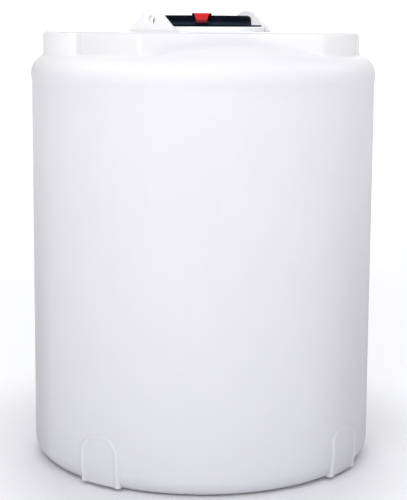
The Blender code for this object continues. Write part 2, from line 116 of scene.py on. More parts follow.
@dataclass(frozen=True)
class Signal:
    """A value that varies over a surface or along a piece, as one output socket of a node tree."""

    graph: "Graph"
    socket: bpy.types.NodeSocket

    def _maths(self, operation: str, first: Value, second: Value = 0.0) -> "Signal":
        """Adds one Math node."""
        return self.graph.node("ShaderNodeMath", {"operation": operation}, {0: first, 1: second})

    def __add__(self, other: Value) -> "Signal":
        """The sum."""
        return self._maths("ADD", self, other)

    __radd__ = __add__

    def __sub__(self, other: Value) -> "Signal":
        """The difference."""
        return self._maths("SUBTRACT", self, other)

    def __rsub__(self, other: Value) -> "Signal":
        """The difference, the other way round."""
        return self._maths("SUBTRACT", other, self)

    def __mul__(self, other: Value) -> "Signal":
        """The product."""
        return self._maths("MULTIPLY", self, other)

    __rmul__ = __mul__

    def __truediv__(self, other: Value) -> "Signal":
        """The quotient."""
        return self._maths("DIVIDE", self, other)

    def __neg__(self) -> "Signal":
        """The value with its sign turned."""
        return self._maths("SUBTRACT", 0.0, self)

    def __abs__(self) -> "Signal":
        """The value without its sign."""
        return self._maths("ABSOLUTE", self)

    def __lt__(self, other: Value) -> "Signal":
        """1 where this is the smaller."""
        return self._maths("LESS_THAN", self, other)

    def sine(self) -> "Signal":
        """The sine of an angle in radians."""
        return self._maths("SINE", self)

    def cosine(self) -> "Signal":
        """The cosine of an angle in radians."""
        return self._maths("COSINE", self)

    def arcsine(self) -> "Signal":
        """The angle in radians whose sine this is."""
        return self._maths("ARCSINE", self)

    def remainder(self, other: Value) -> "Signal":
        """What is left after whole divisions."""
        return self._maths("MODULO", self, other)

    def at_least(self, other: Value) -> "Signal":
        """The larger of the two."""
        return self._maths("MAXIMUM", self, other)

    def softly_below(self, other: Value, width: float) -> "Signal":
        """The smaller of the two, rounded where they cross."""
        values = {0: self, 1: other, 2: width}
        return self.graph.node("ShaderNodeMath", {"operation": "SMOOTH_MIN"}, values)

    def ramp(self, low: float, high: float, kind: str = "SMOOTHSTEP") -> "Signal":
        """Rises from 0 to 1 between two values.

        Args:
            low: The value at which the result leaves 0.
            high: The value at which it reaches 1.
            kind: The ramp's easing.

        Returns:
            The share.
        """
        values = {"Value": self, "From Min": low, "From Max": high, "To Min": 0.0, "To Max": 1.0}
        return self.graph.node("ShaderNodeMapRange", {"interpolation_type": kind}, values)

    def part(self, axis: str) -> "Signal":
        """One of a vector's parts, X, Y or Z."""
        return self.graph.node("ShaderNodeSeparateXYZ", {}, {"Vector": self}, output=axis)


class Graph:
    """A node tree that nodes are added to."""

    def __init__(self, tree: bpy.types.NodeTree) -> None:
        """Keeps the tree."""
        self.tree = tree

    def node(
        self,
        kind: str,
        settings: dict[str, object],
        values: dict[Union[int, str], object],
        output: Union[int, str] = 0,
    ) -> Signal:
        """Adds a node.

        Args:
            kind: The node's type.
            settings: Its own settings, set first.
            values: Each input socket's number, colour or link.
            output: The output socket to hand back.

        Returns:
            That output.
        """
        made = self.tree.nodes.new(kind)
        for name, value in settings.items():
            setattr(made, name, value)
        for key, value in values.items():
            self.join(made.inputs[key], value)
        return Signal(self, made.outputs[output])

    def join(self, socket: bpy.types.NodeSocket, value: object) -> None:
        """Sets a socket to a value, or links it.

        Args:
            socket: The input socket.
            value: A number, a colour, a vector or a link.
        """
        if isinstance(value, Signal):
            self.tree.links.new(value.socket, socket)
        elif socket.type == "RGBA" and len(value) == 3:
            socket.default_value = (*value, 1.0)
        else:
            socket.default_value = value

    def vector(self, x: Value, y: Value, z: Value) -> Signal:
        """A vector of three values."""
        return self.node("ShaderNodeCombineXYZ", {}, {"X": x, "Y": y, "Z": z})


class Surface(Graph):
    """A material's node tree with its Principled shader."""

    def __init__(self, name: str) -> None:
        """Starts a material of this name.

        Args:
            name: The material's name.
        """
        self.material = bpy.data.materials.new(name)
        self.material.use_nodes = True
        super().__init__(self.material.node_tree)
        self.shader = self.tree.nodes["Principled BSDF"]
        self.place = self.node("ShaderNodeTexCoord", {}, {}, output="Object")

    def noise(self, scale: float, detail: float = 3.0, rough: float = 0.5, stretch: Point3 = (1, 1, 1)) -> Signal:
        """Fractal noise on the object's coordinates.

        Args:
            scale: Features per metre.
            detail: Octaves.
            rough: How strong the finer octaves are.
            stretch: What the coordinates are multiplied by, along each axis.

        Returns:
            A signal round 0.5.
        """
        place = self.place
        if stretch != (1, 1, 1):
            place = self.node("ShaderNodeMapping", {}, {"Vector": place, "Scale": stretch})
        values = {"Vector": place, "Scale": scale, "Detail": detail, "Roughness": rough}
        return self.node("ShaderNodeTexNoise", {}, values)

    def height(self) -> Signal:
        """The height above the floor."""
        return self.place.part("Z")

    def across(self) -> Signal:
        """The distance to the right of the tank's middle."""
        return self.place.part("X")

    def radius(self) -> Signal:
        """The distance from the tank's axis."""
        flat = self.vector(self.across(), self.place.part("Y"), 0.0)
        return self.node("ShaderNodeVectorMath", {"operation": "LENGTH"}, {0: flat}, output="Value")

    def sideways(self) -> Signal:
        """How far round to a side a point lies: 0 at the front and the back, 1 at the sides."""
        return abs(self.across()) / self.radius()

    def mix(self, share: Value, first: object, second: object) -> Signal:
        """Blends two colours.

        Args:
            share: How much of the second, from 0 to 1.
            first: One colour.
            second: The other.

        Returns:
            The blend.
        """
        colour_first, colour_second, colour_result = 6, 7, 2
        values = {0: share, colour_first: first, colour_second: second}
        return self.node("ShaderNodeMix", {"data_type": "RGBA"}, values, output=colour_result)

    def bump(self, height: Signal) -> Signal:
        """A bumped normal from a height in metres."""
        return self.node("ShaderNodeBump", {}, {"Height": height, "Distance": 1.0}, output="Normal")

    def dress(self, **values: object) -> bpy.types.Material:
        """Sets the shader's sockets.

        Args:
            **values: Each socket's value, under the socket's name with underscores for its spaces.

        Returns:
            The material.
        """
        for name, value in values.items():
            self.join(self.shader.inputs[name.replace("_", " ")], value)
        return self.material


class Recipe(Graph):
    """A Geometry Nodes tree with named sizes, which ends in real faces and one material."""

    def __init__(self, name: str) -> None:
        """Starts a tree with a geometry input and output.

        Args:
            name: The tree's name.
        """
        super().__init__(bpy.data.node_groups.new(name, "GeometryNodeTree"))
        for direction in ("INPUT", "OUTPUT"):
            self.tree.interface.new_socket("Geometry", in_out=direction, socket_type="NodeSocketGeometry")
        self.entry = self.tree.nodes.new("NodeGroupInput")
        self.source = Signal(self, self.entry.outputs["Geometry"])
        self.given: dict[str, float] = {}

    def size(self, name: str, value: float) -> Signal:
        """Adds a named input, whole if the value is, and notes the value that the modifier gets.

        Args:
            name: The input's name.
            value: Its value.

        Returns:
            The input.
        """
        kind = "NodeSocketInt" if isinstance(value, int) else "NodeSocketFloat"
        socket = self.tree.interface.new_socket(name, in_out="INPUT", socket_type=kind)
        self.given[socket.identifier] = value
        return Signal(self, self.entry.outputs[name])

    def named(self, name: str, kind: str) -> Signal:
        """Reads an attribute that the points carry."""
        values = {"Name": name}
        return self.node("GeometryNodeInputNamedAttribute", {"data_type": kind}, values, output="Attribute")

    def bake(
        self, name: str, source: bpy.types.Mesh, result: Signal, material: bpy.types.Material, sharp: float
    ) -> bpy.types.Object:
        """Runs the tree on a mesh and keeps what it gives as a plain mesh.

        Args:
            name: The new object's name.
            source: The mesh that the tree starts from.
            result: The geometry that the tree hands on.
            material: What Set Material gives it.
            sharp: The angle in degrees from which an edge stays sharp.

        Returns:
            The object, with no modifier left.
        """
        real = self.node("GeometryNodeRealizeInstances", {}, {"Geometry": result})
        dressed = self.node("GeometryNodeSetMaterial", {}, {"Geometry": real, "Material": material})
        end = self.tree.nodes.new("NodeGroupOutput")
        self.tree.links.new(dressed.socket, end.inputs["Geometry"])
        maker = linked(name + "_maker", source)
        step = maker.modifiers.new(self.tree.name, "NODES")
        step.node_group = self.tree
        for identifier, value in self.given.items():
            step[identifier] = value
        return finished(name, evaluated(maker), sharp)


# Finishes.


@dataclass(frozen=True)
class Fade:
    """A band of some measure, such as the height, over which a tone comes in or goes out, up to a share."""

    low: float
    high: float
    share: float = 1.0
    kind: str = "SMOOTHSTEP"

    def _shared(self, signal: Signal) -> Signal:
        """The signal times the share."""
        return signal if self.share == 1.0 else signal * self.share

    def rise(self, measure: Signal) -> Signal:
        """0 below the band, and the share above it."""
        return self._shared(measure.ramp(self.low, self.high, self.kind))

    def fall(self, measure: Signal) -> Signal:
        """The share below the band, and 0 above it."""
        return self._shared(1.0 - measure.ramp(self.low, self.high, self.kind))


@dataclass(frozen=True)
class MouldedPolyethylene:
    """Natural white polyethylene as it leaves a rotating mould: waxy, slightly wavy and faintly mottled.

    The colour carries painted light and shade: a painted highlight on the crown's corners; painted light on its side
    towers, as from light that comes through the wall, on its right side, on the shoulder, on the apron and on what
    stands above the deck; painted shade on its panels, in its creases, along the deck's rim, on the lower sides and
    towards the bottom. The bands of the corners, panels and towers go by how far round to a side a point lies.
    """

    name: str = "moulded_polyethylene"
    gloss: float = 0.3
    rough: float = 0.40
    rough_with_mottle: float = 0.10
    rough_with_grain: float = 0.04
    let_through: float = 0.2
    spread_by_colour: Colour = (1.0, 0.85, 1.1)
    spread_depth: float = 0.010
    base: Colour = (0.766, 0.758, 0.782)
    cool: Colour = (0.724, 0.720, 0.760)
    warm: Colour = (0.764, 0.740, 0.756)
    # Painted shade: the wall darker and bluer towards the bottom.
    foot: Colour = (0.702, 0.698, 0.745)
    # Painted shade on the lower sides, most on the right.
    painted_low_side_shade: Colour = (0.52, 0.515, 0.55)
    # Painted light: the shoulder and the apron, which face up, paler than the wall below.
    shoulder: Colour = (0.828, 0.821, 0.846)
    apron: Colour = (0.822, 0.815, 0.838)
    face: Colour = (0.778, 0.770, 0.792)
    # Painted highlight along the crown's corners.
    corner: Colour = (0.802, 0.797, 0.815)
    # Painted shade on the crown's panels.
    panel: Colour = (0.770, 0.767, 0.777)
    # Painted light: the crown's right side and the shoulder's sides paler.
    pale: Colour = (0.930, 0.925, 0.945)
    # Painted light on the side towers, as from light that comes through the wall.
    tower: Colour = (0.940, 0.928, 0.948)
    # Painted light: what stands above the deck, the eyes and the neck, paler.
    eyes: Colour = (0.895, 0.893, 0.908)
    # Painted shade in the creases: the fold over the apron and the line where a panel meets a tower.
    fold: Colour = (0.68, 0.675, 0.70)
    # Painted shade: a dark line along the deck's rim.
    rim: Colour = (0.52, 0.52, 0.55)
    soiled: Colour = (0.62, 0.61, 0.64)
    mottled: Fade = Fade(0.35, 0.70, 0.3)
    clouded: Fade = Fade(0.3, 0.7, 0.3)
    streaked: Fade = Fade(0.4, 0.75, 0.2)
    blushing: Fade = Fade(0.52, 0.75, 0.35)
    foot_shade_below: Fade = Fade(0.0, 1.25, 0.9, "LINEAR")
    side_shade_right: Fade = Fade(0.25, 0.60, 1.2)
    side_shade_far_right: Fade = Fade(0.60, 0.665, 0.6)
    side_shade_far_left: Fade = Fade(0.645, 0.70, 1.5)
    side_shade_below: Fade = Fade(0.3, 1.5, 0.42)
    splashed: Fade = Fade(0.45, 0.70, 0.22)
    splashed_below: Fade = Fade(0.0, 0.14)
    corner_highlight_from: Fade = Fade(0.526, 0.540)
    panel_shade_from: Fade = Fade(0.546, 0.562)
    light_right: Fade = Fade(0.0, 0.15, 0.37)
    tower_light_from: Fade = Fade(0.846, 0.856)
    tower_shade_line_from: Fade = Fade(0.836, 0.844, 0.8)
    tower_shade_line_to: Fade = Fade(0.852, 0.860)
    shoulder_light_from: Fade = Fade(1.560, 1.635, 0.9)
    light_beside: Fade = Fade(0.28, 0.56, 0.6)
    apron_light_from: Fade = Fade(1.655, 1.680, 0.9)
    apron_slope: float = 0.5317
    apron_height: float = 2.0026
    wall_from: Fade = Fade(0.0, 0.004, 0.9)
    wall_to: Fade = Fade(1.738, 1.745)
    fold_above: Fade = Fade(0.0, 0.022)
    fold_ahead: Fade = Fade(0.004, 0.050)
    fold_from: Fade = Fade(1.66, 1.67)
    fold_to: Fade = Fade(0.42, 0.54)
    fold_shade_share: float = 0.52
    less_fold_right: Fade = Fade(0.05, 0.20, 0.30)
    rim_shade_from: Fade = Fade(1.7434, 1.7448, 0.9)
    rim_shade_to: Fade = Fade(1.7468, 1.7470)
    light_above_deck: Fade = Fade(1.748, 1.752, 0.9)
    wave_depth: float = 0.0016
    dimple_depth: float = 0.00010
    grain_depth: float = 0.000012

    def crown_tone(self, surface: Surface) -> Signal:
        """The crown wall's colour.

        Args:
            surface: The material's tree.

        Returns:
            The colour at each bearing: a painted highlight on the corners, painted shade on the panels, painted
            light on the right side and the towers, and a line of painted shade where a panel meets a tower.
        """
        sideways = surface.sideways()
        # Painted highlight on the corners.
        colour = surface.mix(self.corner_highlight_from.rise(sideways), self.face, self.corner)
        # Painted shade on the panels.
        colour = surface.mix(self.panel_shade_from.rise(sideways), colour, self.panel)
        # Painted light on the crown's right side.
        colour = surface.mix(self.light_right.rise(surface.across()), colour, self.pale)
        # Painted light on the side towers.
        colour = surface.mix(self.tower_light_from.rise(sideways), colour, self.tower)
        # Painted shade: a dark line where a panel meets a tower, in the crease colour.
        line = self.tower_shade_line_from.rise(sideways) * self.tower_shade_line_to.fall(sideways)
        return surface.mix(line, colour, self.fold)

    def crown_colour(self, surface: Surface, colour: Signal) -> Signal:
        """Adds the crown's tones: its walls, painted light on the shoulder, the apron, the eyes and the neck, and
        painted shade in the fold over the apron and along the rim's edge.

        Args:
            surface: The material's tree.
            colour: The colour below.

        Returns:
            The colour with them.
        """
        height, across = surface.height(), surface.across()
        above_apron = height + surface.radius() * self.apron_slope - self.apron_height
        below_rim = self.wall_to.fall(height)
        # Painted light: the shoulder paler, more so towards its sides, and the apron paler.
        shoulder = surface.mix(self.light_beside.rise(abs(across)), self.shoulder, self.pale)
        colour = surface.mix(self.shoulder_light_from.rise(height), colour, shoulder)
        colour = surface.mix(self.apron_light_from.rise(height), colour, self.apron)
        colour = surface.mix(self.wall_from.rise(above_apron) * below_rim, colour, self.crown_tone(surface))
        # Painted shade in the fold where the apron meets the crown's flat faces, less on the right.
        outward = abs(surface.place.part("Y")) - CROWN_FLAT
        fold_shade = self.fold_above.fall(above_apron) * self.fold_ahead.fall(outward) * self.fold_from.rise(height)
        fold_shade = fold_shade * below_rim * self.fold_to.fall(surface.sideways())
        fold_shade = fold_shade * (self.fold_shade_share - self.less_fold_right.rise(across))
        colour = surface.mix(fold_shade, colour, self.fold)
        # Painted shade: a dark line along the deck's rim.
        colour = surface.mix(self.rim_shade_from.rise(height) * self.rim_shade_to.fall(height), colour, self.rim)
        # Painted light above the deck: the eyes and the neck.
        return surface.mix(self.light_above_deck.rise(height), colour, self.eyes)

    def material(self) -> bpy.types.Material:
        """Builds the material.

        Returns:
            The material.
        """
        surface = Surface(self.name)
        height, across = surface.height(), surface.across()
        mottle = surface.noise(scale=7.0, detail=4.0, rough=0.6)
        clouds = surface.noise(scale=1.7, detail=2.0)
        blush = surface.noise(scale=2.6, detail=2.0, stretch=(1.0, 1.0, 0.6))
        streaks = surface.noise(scale=9.0, rough=0.6, stretch=(1.0, 1.0, 0.06))
        grain = surface.noise(scale=420.0, detail=2.0)
        tone = self.mottled.rise(mottle) + self.clouded.rise(clouds) + self.streaked.rise(streaks)
        colour = surface.mix(tone, self.base, self.cool)
        colour = surface.mix(self.blushing.rise(blush), colour, self.warm)
        # Painted shade: darker and bluer towards the bottom.
        colour = surface.mix(self.foot_shade_below.fall(height), colour, self.foot)
        # Painted shade: the lower sides darker, most on the right, fading out upwards.
        dull = self.side_shade_right.rise(across) + self.side_shade_far_right.rise(across) + self.side_shade_far_left.rise(-across)
        colour = surface.mix(dull * self.side_shade_below.fall(height), colour, self.painted_low_side_shade)
        colour = self.crown_colour(surface, colour)
        splash = self.splashed_below.fall(height) * self.splashed.rise(streaks)
        colour = surface.mix(splash, colour, self.soiled)
        waves = surface.noise(scale=3.2, detail=1.0, rough=0.4) * self.wave_depth
        dimples = surface.noise(scale=46.0, rough=0.55) * self.dimple_depth
        return surface.dress(
            Base_Color=colour,
            Roughness=self.rough + mottle * self.rough_with_mottle + grain * self.rough_with_grain,
            Normal=surface.bump(waves + dimples + grain * self.grain_depth),
            Subsurface_Weight=self.let_through,
            Subsurface_Radius=self.spread_by_colour,
            Subsurface_Scale=self.spread_depth,
            Specular_IOR_Level=self.gloss,
        )


@dataclass(frozen=True)
class BlackPolyethylene:
    """The lid's black plastic, with a fine satin grain, a little dust, and a band of painted sheen low on the dome."""

    name: str = "black_polyethylene"
    base: Colour = (0.0015, 0.0035, 0.009)
    dust: Colour = (0.006, 0.010, 0.018)
    # Painted sheen: a paler band low on the dome's side, just above the brim.
    low_sheen: Colour = (0.024, 0.036, 0.055)
    dusty: Fade = Fade(0.45, 0.80, 0.5)
    sheen_from: Fade = Fade(1.7755, 1.7775)
    sheen_to: Fade = Fade(1.778, 1.793)
    rough: float = 0.46
    rough_with_dust: float = 0.14
    rough_with_rubbing: float = 0.08
    rough_with_grain: float = 0.05
    grain_depth: float = 0.00004
    ripple_depth: float = 0.0002
    gloss: float = 0.04

    def material(self) -> bpy.types.Material:
        """Builds the material.

        Returns:
            The material.
        """
        surface = Surface(self.name)
        height = surface.height()
        settled = surface.noise(scale=16.0, detail=4.0, rough=0.6)
        grain = surface.noise(scale=600.0, detail=2.0)
        rubbed = surface.noise(scale=60.0, rough=0.6, stretch=(1.0, 1.0, 0.2))
        colour = surface.mix(self.dusty.rise(settled), self.base, self.dust)
        # Painted sheen in a band low on the dome.
        colour = surface.mix(self.sheen_from.rise(height) * self.sheen_to.fall(height), colour, self.low_sheen)
        rough = self.rough + settled * self.rough_with_dust + rubbed * self.rough_with_rubbing
        relief = grain * self.grain_depth + surface.noise(scale=30.0, detail=2.0) * self.ripple_depth
        return surface.dress(
            Base_Color=colour,
            Roughness=rough + grain * self.rough_with_grain,
            Normal=surface.bump(relief),
            Specular_IOR_Level=self.gloss,
        )


@dataclass(frozen=True)
class ColouredPlastic:
    """A small moulded plastic part of one colour, slightly faded where it is handled, with painted shade below a
    height.
    """

    name: str
    base: Colour
    worn: Colour
    rough: float
    gloss: float = 0.5
    # Painted shade: the part darker below this height.
    low_shade_below: float = 0.0
    low_shade: Colour = (0.10, 0.015, 0.022)
    low_shade_share: float = 0.9
    low_shade_blur: float = 0.002
    wear_from: Fade = Fade(0.45, 0.8, 0.5)
    rough_with_wear: float = 0.12
    wear_depth: float = 0.00015
    grain_depth: float = 0.00003

    def material(self) -> bpy.types.Material:
        """Builds the material.

        Returns:
            The material.
        """
        surface = Surface(self.name)
        wear = surface.noise(scale=60.0, detail=4.0, rough=0.6)
        grain = surface.noise(scale=900.0, detail=2.0)
        colour = surface.mix(self.wear_from.rise(wear), self.base, self.worn)
        # Painted shade below the height.
        edge = Fade(self.low_shade_below - self.low_shade_blur, self.low_shade_below + self.low_shade_blur, self.low_shade_share)
        return surface.dress(
            Base_Color=surface.mix(edge.fall(surface.height()), colour, self.low_shade),
            Roughness=self.rough + wear * self.rough_with_wear,
            Normal=surface.bump(grain * self.grain_depth + wear * self.wear_depth),
            Specular_IOR_Level=self.gloss,
        )


@dataclass(frozen=True)
class PlainSteel:
    """A drawn steel pin."""

    name: str = "plain_steel"
    base: Colour = (0.075, 0.070, 0.075)
    dull: Colour = (0.030, 0.029, 0.032)
    tarnished: Fade = Fade(0.45, 0.75)
    rough: float = 0.28
    rough_with_tarnish: float = 0.2
    grain_depth: float = 0.00003

    def material(self) -> bpy.types.Material:
        """Builds the material.

        Returns:
            The material.
        """
        surface = Surface(self.name)
        tarnish = surface.noise(scale=140.0, detail=4.0, rough=0.65)
        drawn = surface.noise(scale=900.0, detail=2.0)
        return surface.dress(
            Base_Color=surface.mix(self.tarnished.rise(tarnish), self.base, self.dull),
            Roughness=self.rough + tarnish * self.rough_with_tarnish,
            Metallic=1.0,
            Normal=surface.bump(drawn * self.grain_depth),
        )


@dataclass(frozen=True)
class StudioFloor:
    """The plain pale floor, which glows faintly away from the tank's foot and is darker near it, as painted shade."""

    name: str = "studio_floor"
    # Painted shade: the floor darker near the tank, paler far off.
    near: Colour = (0.84, 0.84, 0.85)
    far: Colour = (0.97, 0.97, 0.975)
    shade: Colour = (0.82, 0.82, 0.83)
    shade_share: float = 0.3
    far_from: Fade = Fade(1.5, 9.0)
    glow_from: Fade = Fade(0.70, 1.5)
    glow: float = 0.22
    rough: float = 0.9

    def material(self) -> bpy.types.Material:
        """Builds the material.

        Returns:
            The material.
        """
        surface = Surface(self.name)
        radius = surface.radius()
        colour = surface.mix(surface.noise(scale=2.0, detail=2.0) * self.shade_share, self.near, self.shade)
        return surface.dress(
            # Painted shade: darker near the tank, paler far off.
            Base_Color=surface.mix(self.far_from.rise(radius), colour, self.far),
            Roughness=self.rough,
            Emission_Color=surface.mix(self.glow_from.rise(radius), BLACK, WHITE),
            Emission_Strength=self.glow,
        )


@dataclass(frozen=True)
class StudioBackdrop:
    """The plain white wall far behind."""

    name: str = "studio_backdrop"
    glow: float = 1.6

    def material(self) -> bpy.types.Material:
        """Builds the material."""
        return Surface(self.name).dress(Base_Color=BLACK, Emission_Color=WHITE, Emission_Strength=self.glow)


@dataclass(frozen=True)
class Finishes:
    """Every finish, made once."""

    white: bpy.types.Material
    black: bpy.types.Material
    red: bpy.types.Material
    grey: bpy.types.Material
    steel: bpy.types.Material

    @classmethod
    def make(cls) -> "Finishes":
        """Builds all the materials.

        Returns:
            The finishes.
        """
        red = ColouredPlastic(
            name="red_plastic",
            base=(0.66, 0.018, 0.020),
            worn=(0.72, 0.045, 0.042),
            rough=0.4,
            gloss=0.12,
            # The lever's knuckle and foot in painted shade.
            low_shade_below=1.7935,
        )
        grey = ColouredPlastic(name="grey_plastic", base=(0.72, 0.74, 0.78), worn=(0.78, 0.79, 0.82), rough=0.45)
        return cls(
            white=MouldedPolyethylene().material(),
            black=BlackPolyethylene().material(),
            red=red.material(),
            grey=grey.material(),
            steel=PlainSteel().material(),
        )


# Mesh work that several pieces share.


def at(bearing: float, radius: float, height: float) -> Vector:
    """The point at this bearing, radius and height."""
    turn = math.radians(bearing)
    return Vector((radius * math.sin(turn), -radius * math.cos(turn), height))


def arc(centre: Point2, radius: float, start: float, end: float, steps: int) -> list[Point2]:
    """Points along an arc of a section.

    Args:
        centre: Its centre, as (radius, height).
        radius: Its own radius.
        start: The first point's direction in degrees, 0 outwards and 90 up.
        end: The last point's direction.
        steps: The number of steps.

    Returns:
        The points, both ends included.
    """
    turns = [math.radians(start + (end - start) * i / steps) for i in range(steps + 1)]
    return [(centre[0] + radius * math.cos(turn), centre[1] + radius * math.sin(turn)) for turn in turns]


def between(start: Point2, end: Point2, steps: int) -> list[Point2]:
    """Points inside a straight run, both ends left out."""
    shares = [i / steps for i in range(1, steps)]
    return [(start[0] + (end[0] - start[0]) * k, start[1] + (end[1] - start[1]) * k) for k in shares]


def linked(name: str, data: bpy.types.ID) -> bpy.types.Object:
    """Makes an object of this data in the scene.

    Args:
        name: The object's name.
        data: Its mesh, curve, light or camera.

    Returns:
        The object.
    """
    item = bpy.data.objects.new(name, data)
    bpy.context.scene.collection.objects.link(item)
    return item


def evaluated(item: bpy.types.Object) -> bmesh.types.BMesh:
    """Turns an object, with what its modifiers do, into a mesh, and removes the object.

    Args:
        item: The object.

    Returns:
        The mesh.
    """
    bpy.context.view_layer.update()
    data = bpy.data.meshes.new_from_object(item.evaluated_get(bpy.context.evaluated_depsgraph_get()))
    item.modifiers.clear()
    bpy.data.objects.remove(item, do_unlink=True)
    mesh = bmesh.new()
    mesh.from_mesh(data)
    return mesh


def plain_mesh(name: str, mesh: bmesh.types.BMesh) -> bpy.types.Mesh:
    """Turns a bmesh into bare mesh data with its faces outward, and frees it.

    Args:
        name: The mesh data's name.
        mesh: The mesh.

    Returns:
        The mesh data.
    """
    bmesh.ops.recalc_face_normals(mesh, faces=mesh.faces)
    data = bpy.data.meshes.new(name)
    mesh.to_mesh(data)
    mesh.free()
    return data


def finished(name: str, mesh: bmesh.types.BMesh, sharp: float = 40.0) -> bpy.types.Object:
    """Turns a bmesh into a smooth-shaded object with its doubles merged and its faces outward.

    Args:
        name: The object's name.
        mesh: The mesh, which is freed.
        sharp: The angle in degrees from which an edge stays sharp.

    Returns:
        The object, linked to the scene.
    """
    bmesh.ops.remove_doubles(mesh, verts=mesh.verts, dist=MERGED_WITHIN)
    bmesh.ops.dissolve_degenerate(mesh, edges=mesh.edges, dist=MERGED_WITHIN / 10)
    data = plain_mesh(name, mesh)
    data.shade_smooth()
    data.set_sharp_from_angle(angle=math.radians(sharp))
    return linked(name, data)


def loft(rows: Sequence[Sequence[Vector]], ring: bool = False) -> bmesh.types.BMesh:
    """Joins closed loops of points into one body, with a cap at each end unless it closes on itself.

    Args:
        rows: The loops, all of one length.
        ring: Whether the last loop joins the first.

    Returns:
        The mesh.
    """
    mesh = bmesh.new()
    loops = [[mesh.verts.new(point) for point in row] for row in rows]
    following = loops[1:] + loops[:1] if ring else loops[1:]
    for near, far in zip(loops, following):
        for i, corner in enumerate(near):
            j = (i + 1) % len(near)
            mesh.faces.new((corner, near[j], far[j], far[i]))
    if not ring:
        mesh.faces.new(loops[0])
        mesh.faces.new(loops[-1])
    return mesh


def joined(*meshes: bmesh.types.BMesh) -> bmesh.types.BMesh:
    """Puts several meshes into the first, and frees the others.

    Args:
        meshes: The meshes.

    Returns:
        The first, with the others in it.
    """
    first = meshes[0]
    for other in meshes[1:]:
        data = bpy.data.meshes.new("joined")
        other.to_mesh(data)
        other.free()
        first.from_mesh(data)
        bpy.data.meshes.remove(data)
    return first


def block(low: Point3, high: Point3, edge: float) -> bmesh.types.BMesh:
    """A box with rounded edges.

    Args:
        low: Its lowest corner.
        high: Its highest corner.
        edge: The radius of its edges.

    Returns:
        The mesh.
    """
    mesh = bmesh.new()
    bmesh.ops.create_cube(mesh, size=1.0)
    bmesh.ops.scale(mesh, vec=Vector(high) - Vector(low), verts=mesh.verts)
    bmesh.ops.translate(mesh, vec=(Vector(high) + Vector(low)) / 2, verts=mesh.verts)
    bmesh.ops.bevel(mesh, geom=mesh.edges[:], offset=edge, segments=4, profile=0.5, affect="EDGES")
    return mesh


def rod(radius: float, length: float, centre: Point3, edge: float) -> bmesh.types.BMesh:
    """A round bar along X with rounded ends.

    Args:
        radius: Its radius.
        length: Its whole length.
        centre: Its middle.
        edge: The rounding of its ends.

    Returns:
        The mesh.
    """
    half = length / 2
    corner = arc((half - edge, radius - edge), edge, 0.0, 90.0, 4)
    outline = [(half, 0.0), *corner, *[(-along, out) for along, out in corner[::-1]], (-half, 0.0)]
    mesh = bmesh.new()
    rings = []
    steps = 40
    for turn in [math.tau * i / steps for i in range(steps)]:
        spots = [(along, out * math.cos(turn), out * math.sin(turn)) for along, out in outline]
        rings.append([mesh.verts.new(Vector(centre) + Vector(spot)) for spot in spots])
    for near, far in zip(rings, rings[1:] + rings[:1]):
        for i in range(len(near) - 1):
            mesh.faces.new((near[i], near[i + 1], far[i + 1], far[i]))
    bmesh.ops.remove_doubles(mesh, verts=mesh.verts, dist=MERGED_WITHIN)
    return mesh


def turned_about(mesh: bmesh.types.BMesh, bearing: float) -> bmesh.types.BMesh:
    """Turns a mesh built about -Y to a bearing."""
    bmesh.ops.rotate(mesh, verts=mesh.verts, matrix=Matrix.Rotation(math.radians(bearing), 3, "Z"))
    return mesh


def section_mesh(name: str, sections: dict[str, list[Point2]]) -> bpy.types.Mesh:
    """An open line whose points carry their place in each of several sections, as attributes.

    Args:
        name: The mesh's name.
        sections: The sections by name, all of one length.

    Returns:
        The mesh.
    """
    first = next(iter(sections.values()))
    data = bpy.data.meshes.new(name)
    spots = [(radius, 0.0, height) for radius, height in first]
    data.from_pydata(spots, [(i, i + 1) for i in range(len(first) - 1)], [])
    for key, points in sections.items():
        layer = data.attributes.new(key, "FLOAT_VECTOR", "POINT")
        for row, (radius, height) in zip(layer.data, points):
            row.vector = (radius, 0.0, height)
    return data


def put(
    item: bpy.types.Object, body: Body, material: bpy.types.Material, nodes: Iterable[str]
) -> None:
    """Dresses a piece, sets what it rides on and what it stands for, and reports it.

    Args:
        item: The piece.
        body: The body it rides on.
        material: Its material.
        nodes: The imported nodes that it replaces.
    """
    item.data.materials.clear()
    item.data.materials.append(material)
    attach(item, body.value)
    if nodes:
        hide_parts(*nodes)
    item.data.calc_loop_triangles()
    log.info("%s: %d triangles, on %s", item.name, len(item.data.loop_triangles), body.value)


# Sub-assemblies.


@dataclass
class TurnedRecipe:
    """Turns a section round the axis, in even steps or closer together at the diagonals."""

    name: str
    rows: int
    crowding: float = 0.0

    def start(self) -> tuple[Recipe, Signal, Signal]:
        """Sweeps the section's line round a circle.

        Returns:
            The recipe, the swept skin and the bearing in radians that its points carry.
        """
        recipe = Recipe(self.name)
        rows = recipe.size("Rows", self.rows)
        crowding = recipe.size("Crowding", self.crowding)
        ring = recipe.node("GeometryNodeCurvePrimitiveCircle", {"mode": "RADIUS"}, {"Resolution": rows, "Radius": 1.0})
        step = recipe.node("GeometryNodeInputIndex", {}, {})
        turn = step * math.tau / rows
        turn = turn + crowding * (turn * 4.0).sine() / 4.0
        values = {"Geometry": ring, "Name": "bearing", "Value": turn}
        ring = recipe.node("GeometryNodeStoreNamedAttribute", {"data_type": "FLOAT", "domain": "POINT"}, values)
        line = recipe.node("GeometryNodeMeshToCurve", {}, {"Mesh": recipe.source})
        skin = recipe.node("GeometryNodeCurveToMesh", {}, {"Curve": ring, "Profile Curve": line})
        return recipe, skin, recipe.named("bearing", "FLOAT")

    def place(self, recipe: Recipe, skin: Signal, bearing: Signal, spot: Signal) -> Signal:
        """Moves the skin's points to their bearing.

        Args:
            recipe: The tree.
            skin: The swept skin.
            bearing: Its points' bearings in radians.
            spot: Their place in the section, with the radius in X and the height in Z.

        Returns:
            The skin in its place.
        """
        radius = spot.part("X")
        point = recipe.vector(radius * bearing.sine(), -(radius * bearing.cosine()), spot.part("Z"))
        return recipe.node("GeometryNodeSetPosition", {}, {"Geometry": skin, "Position": point})


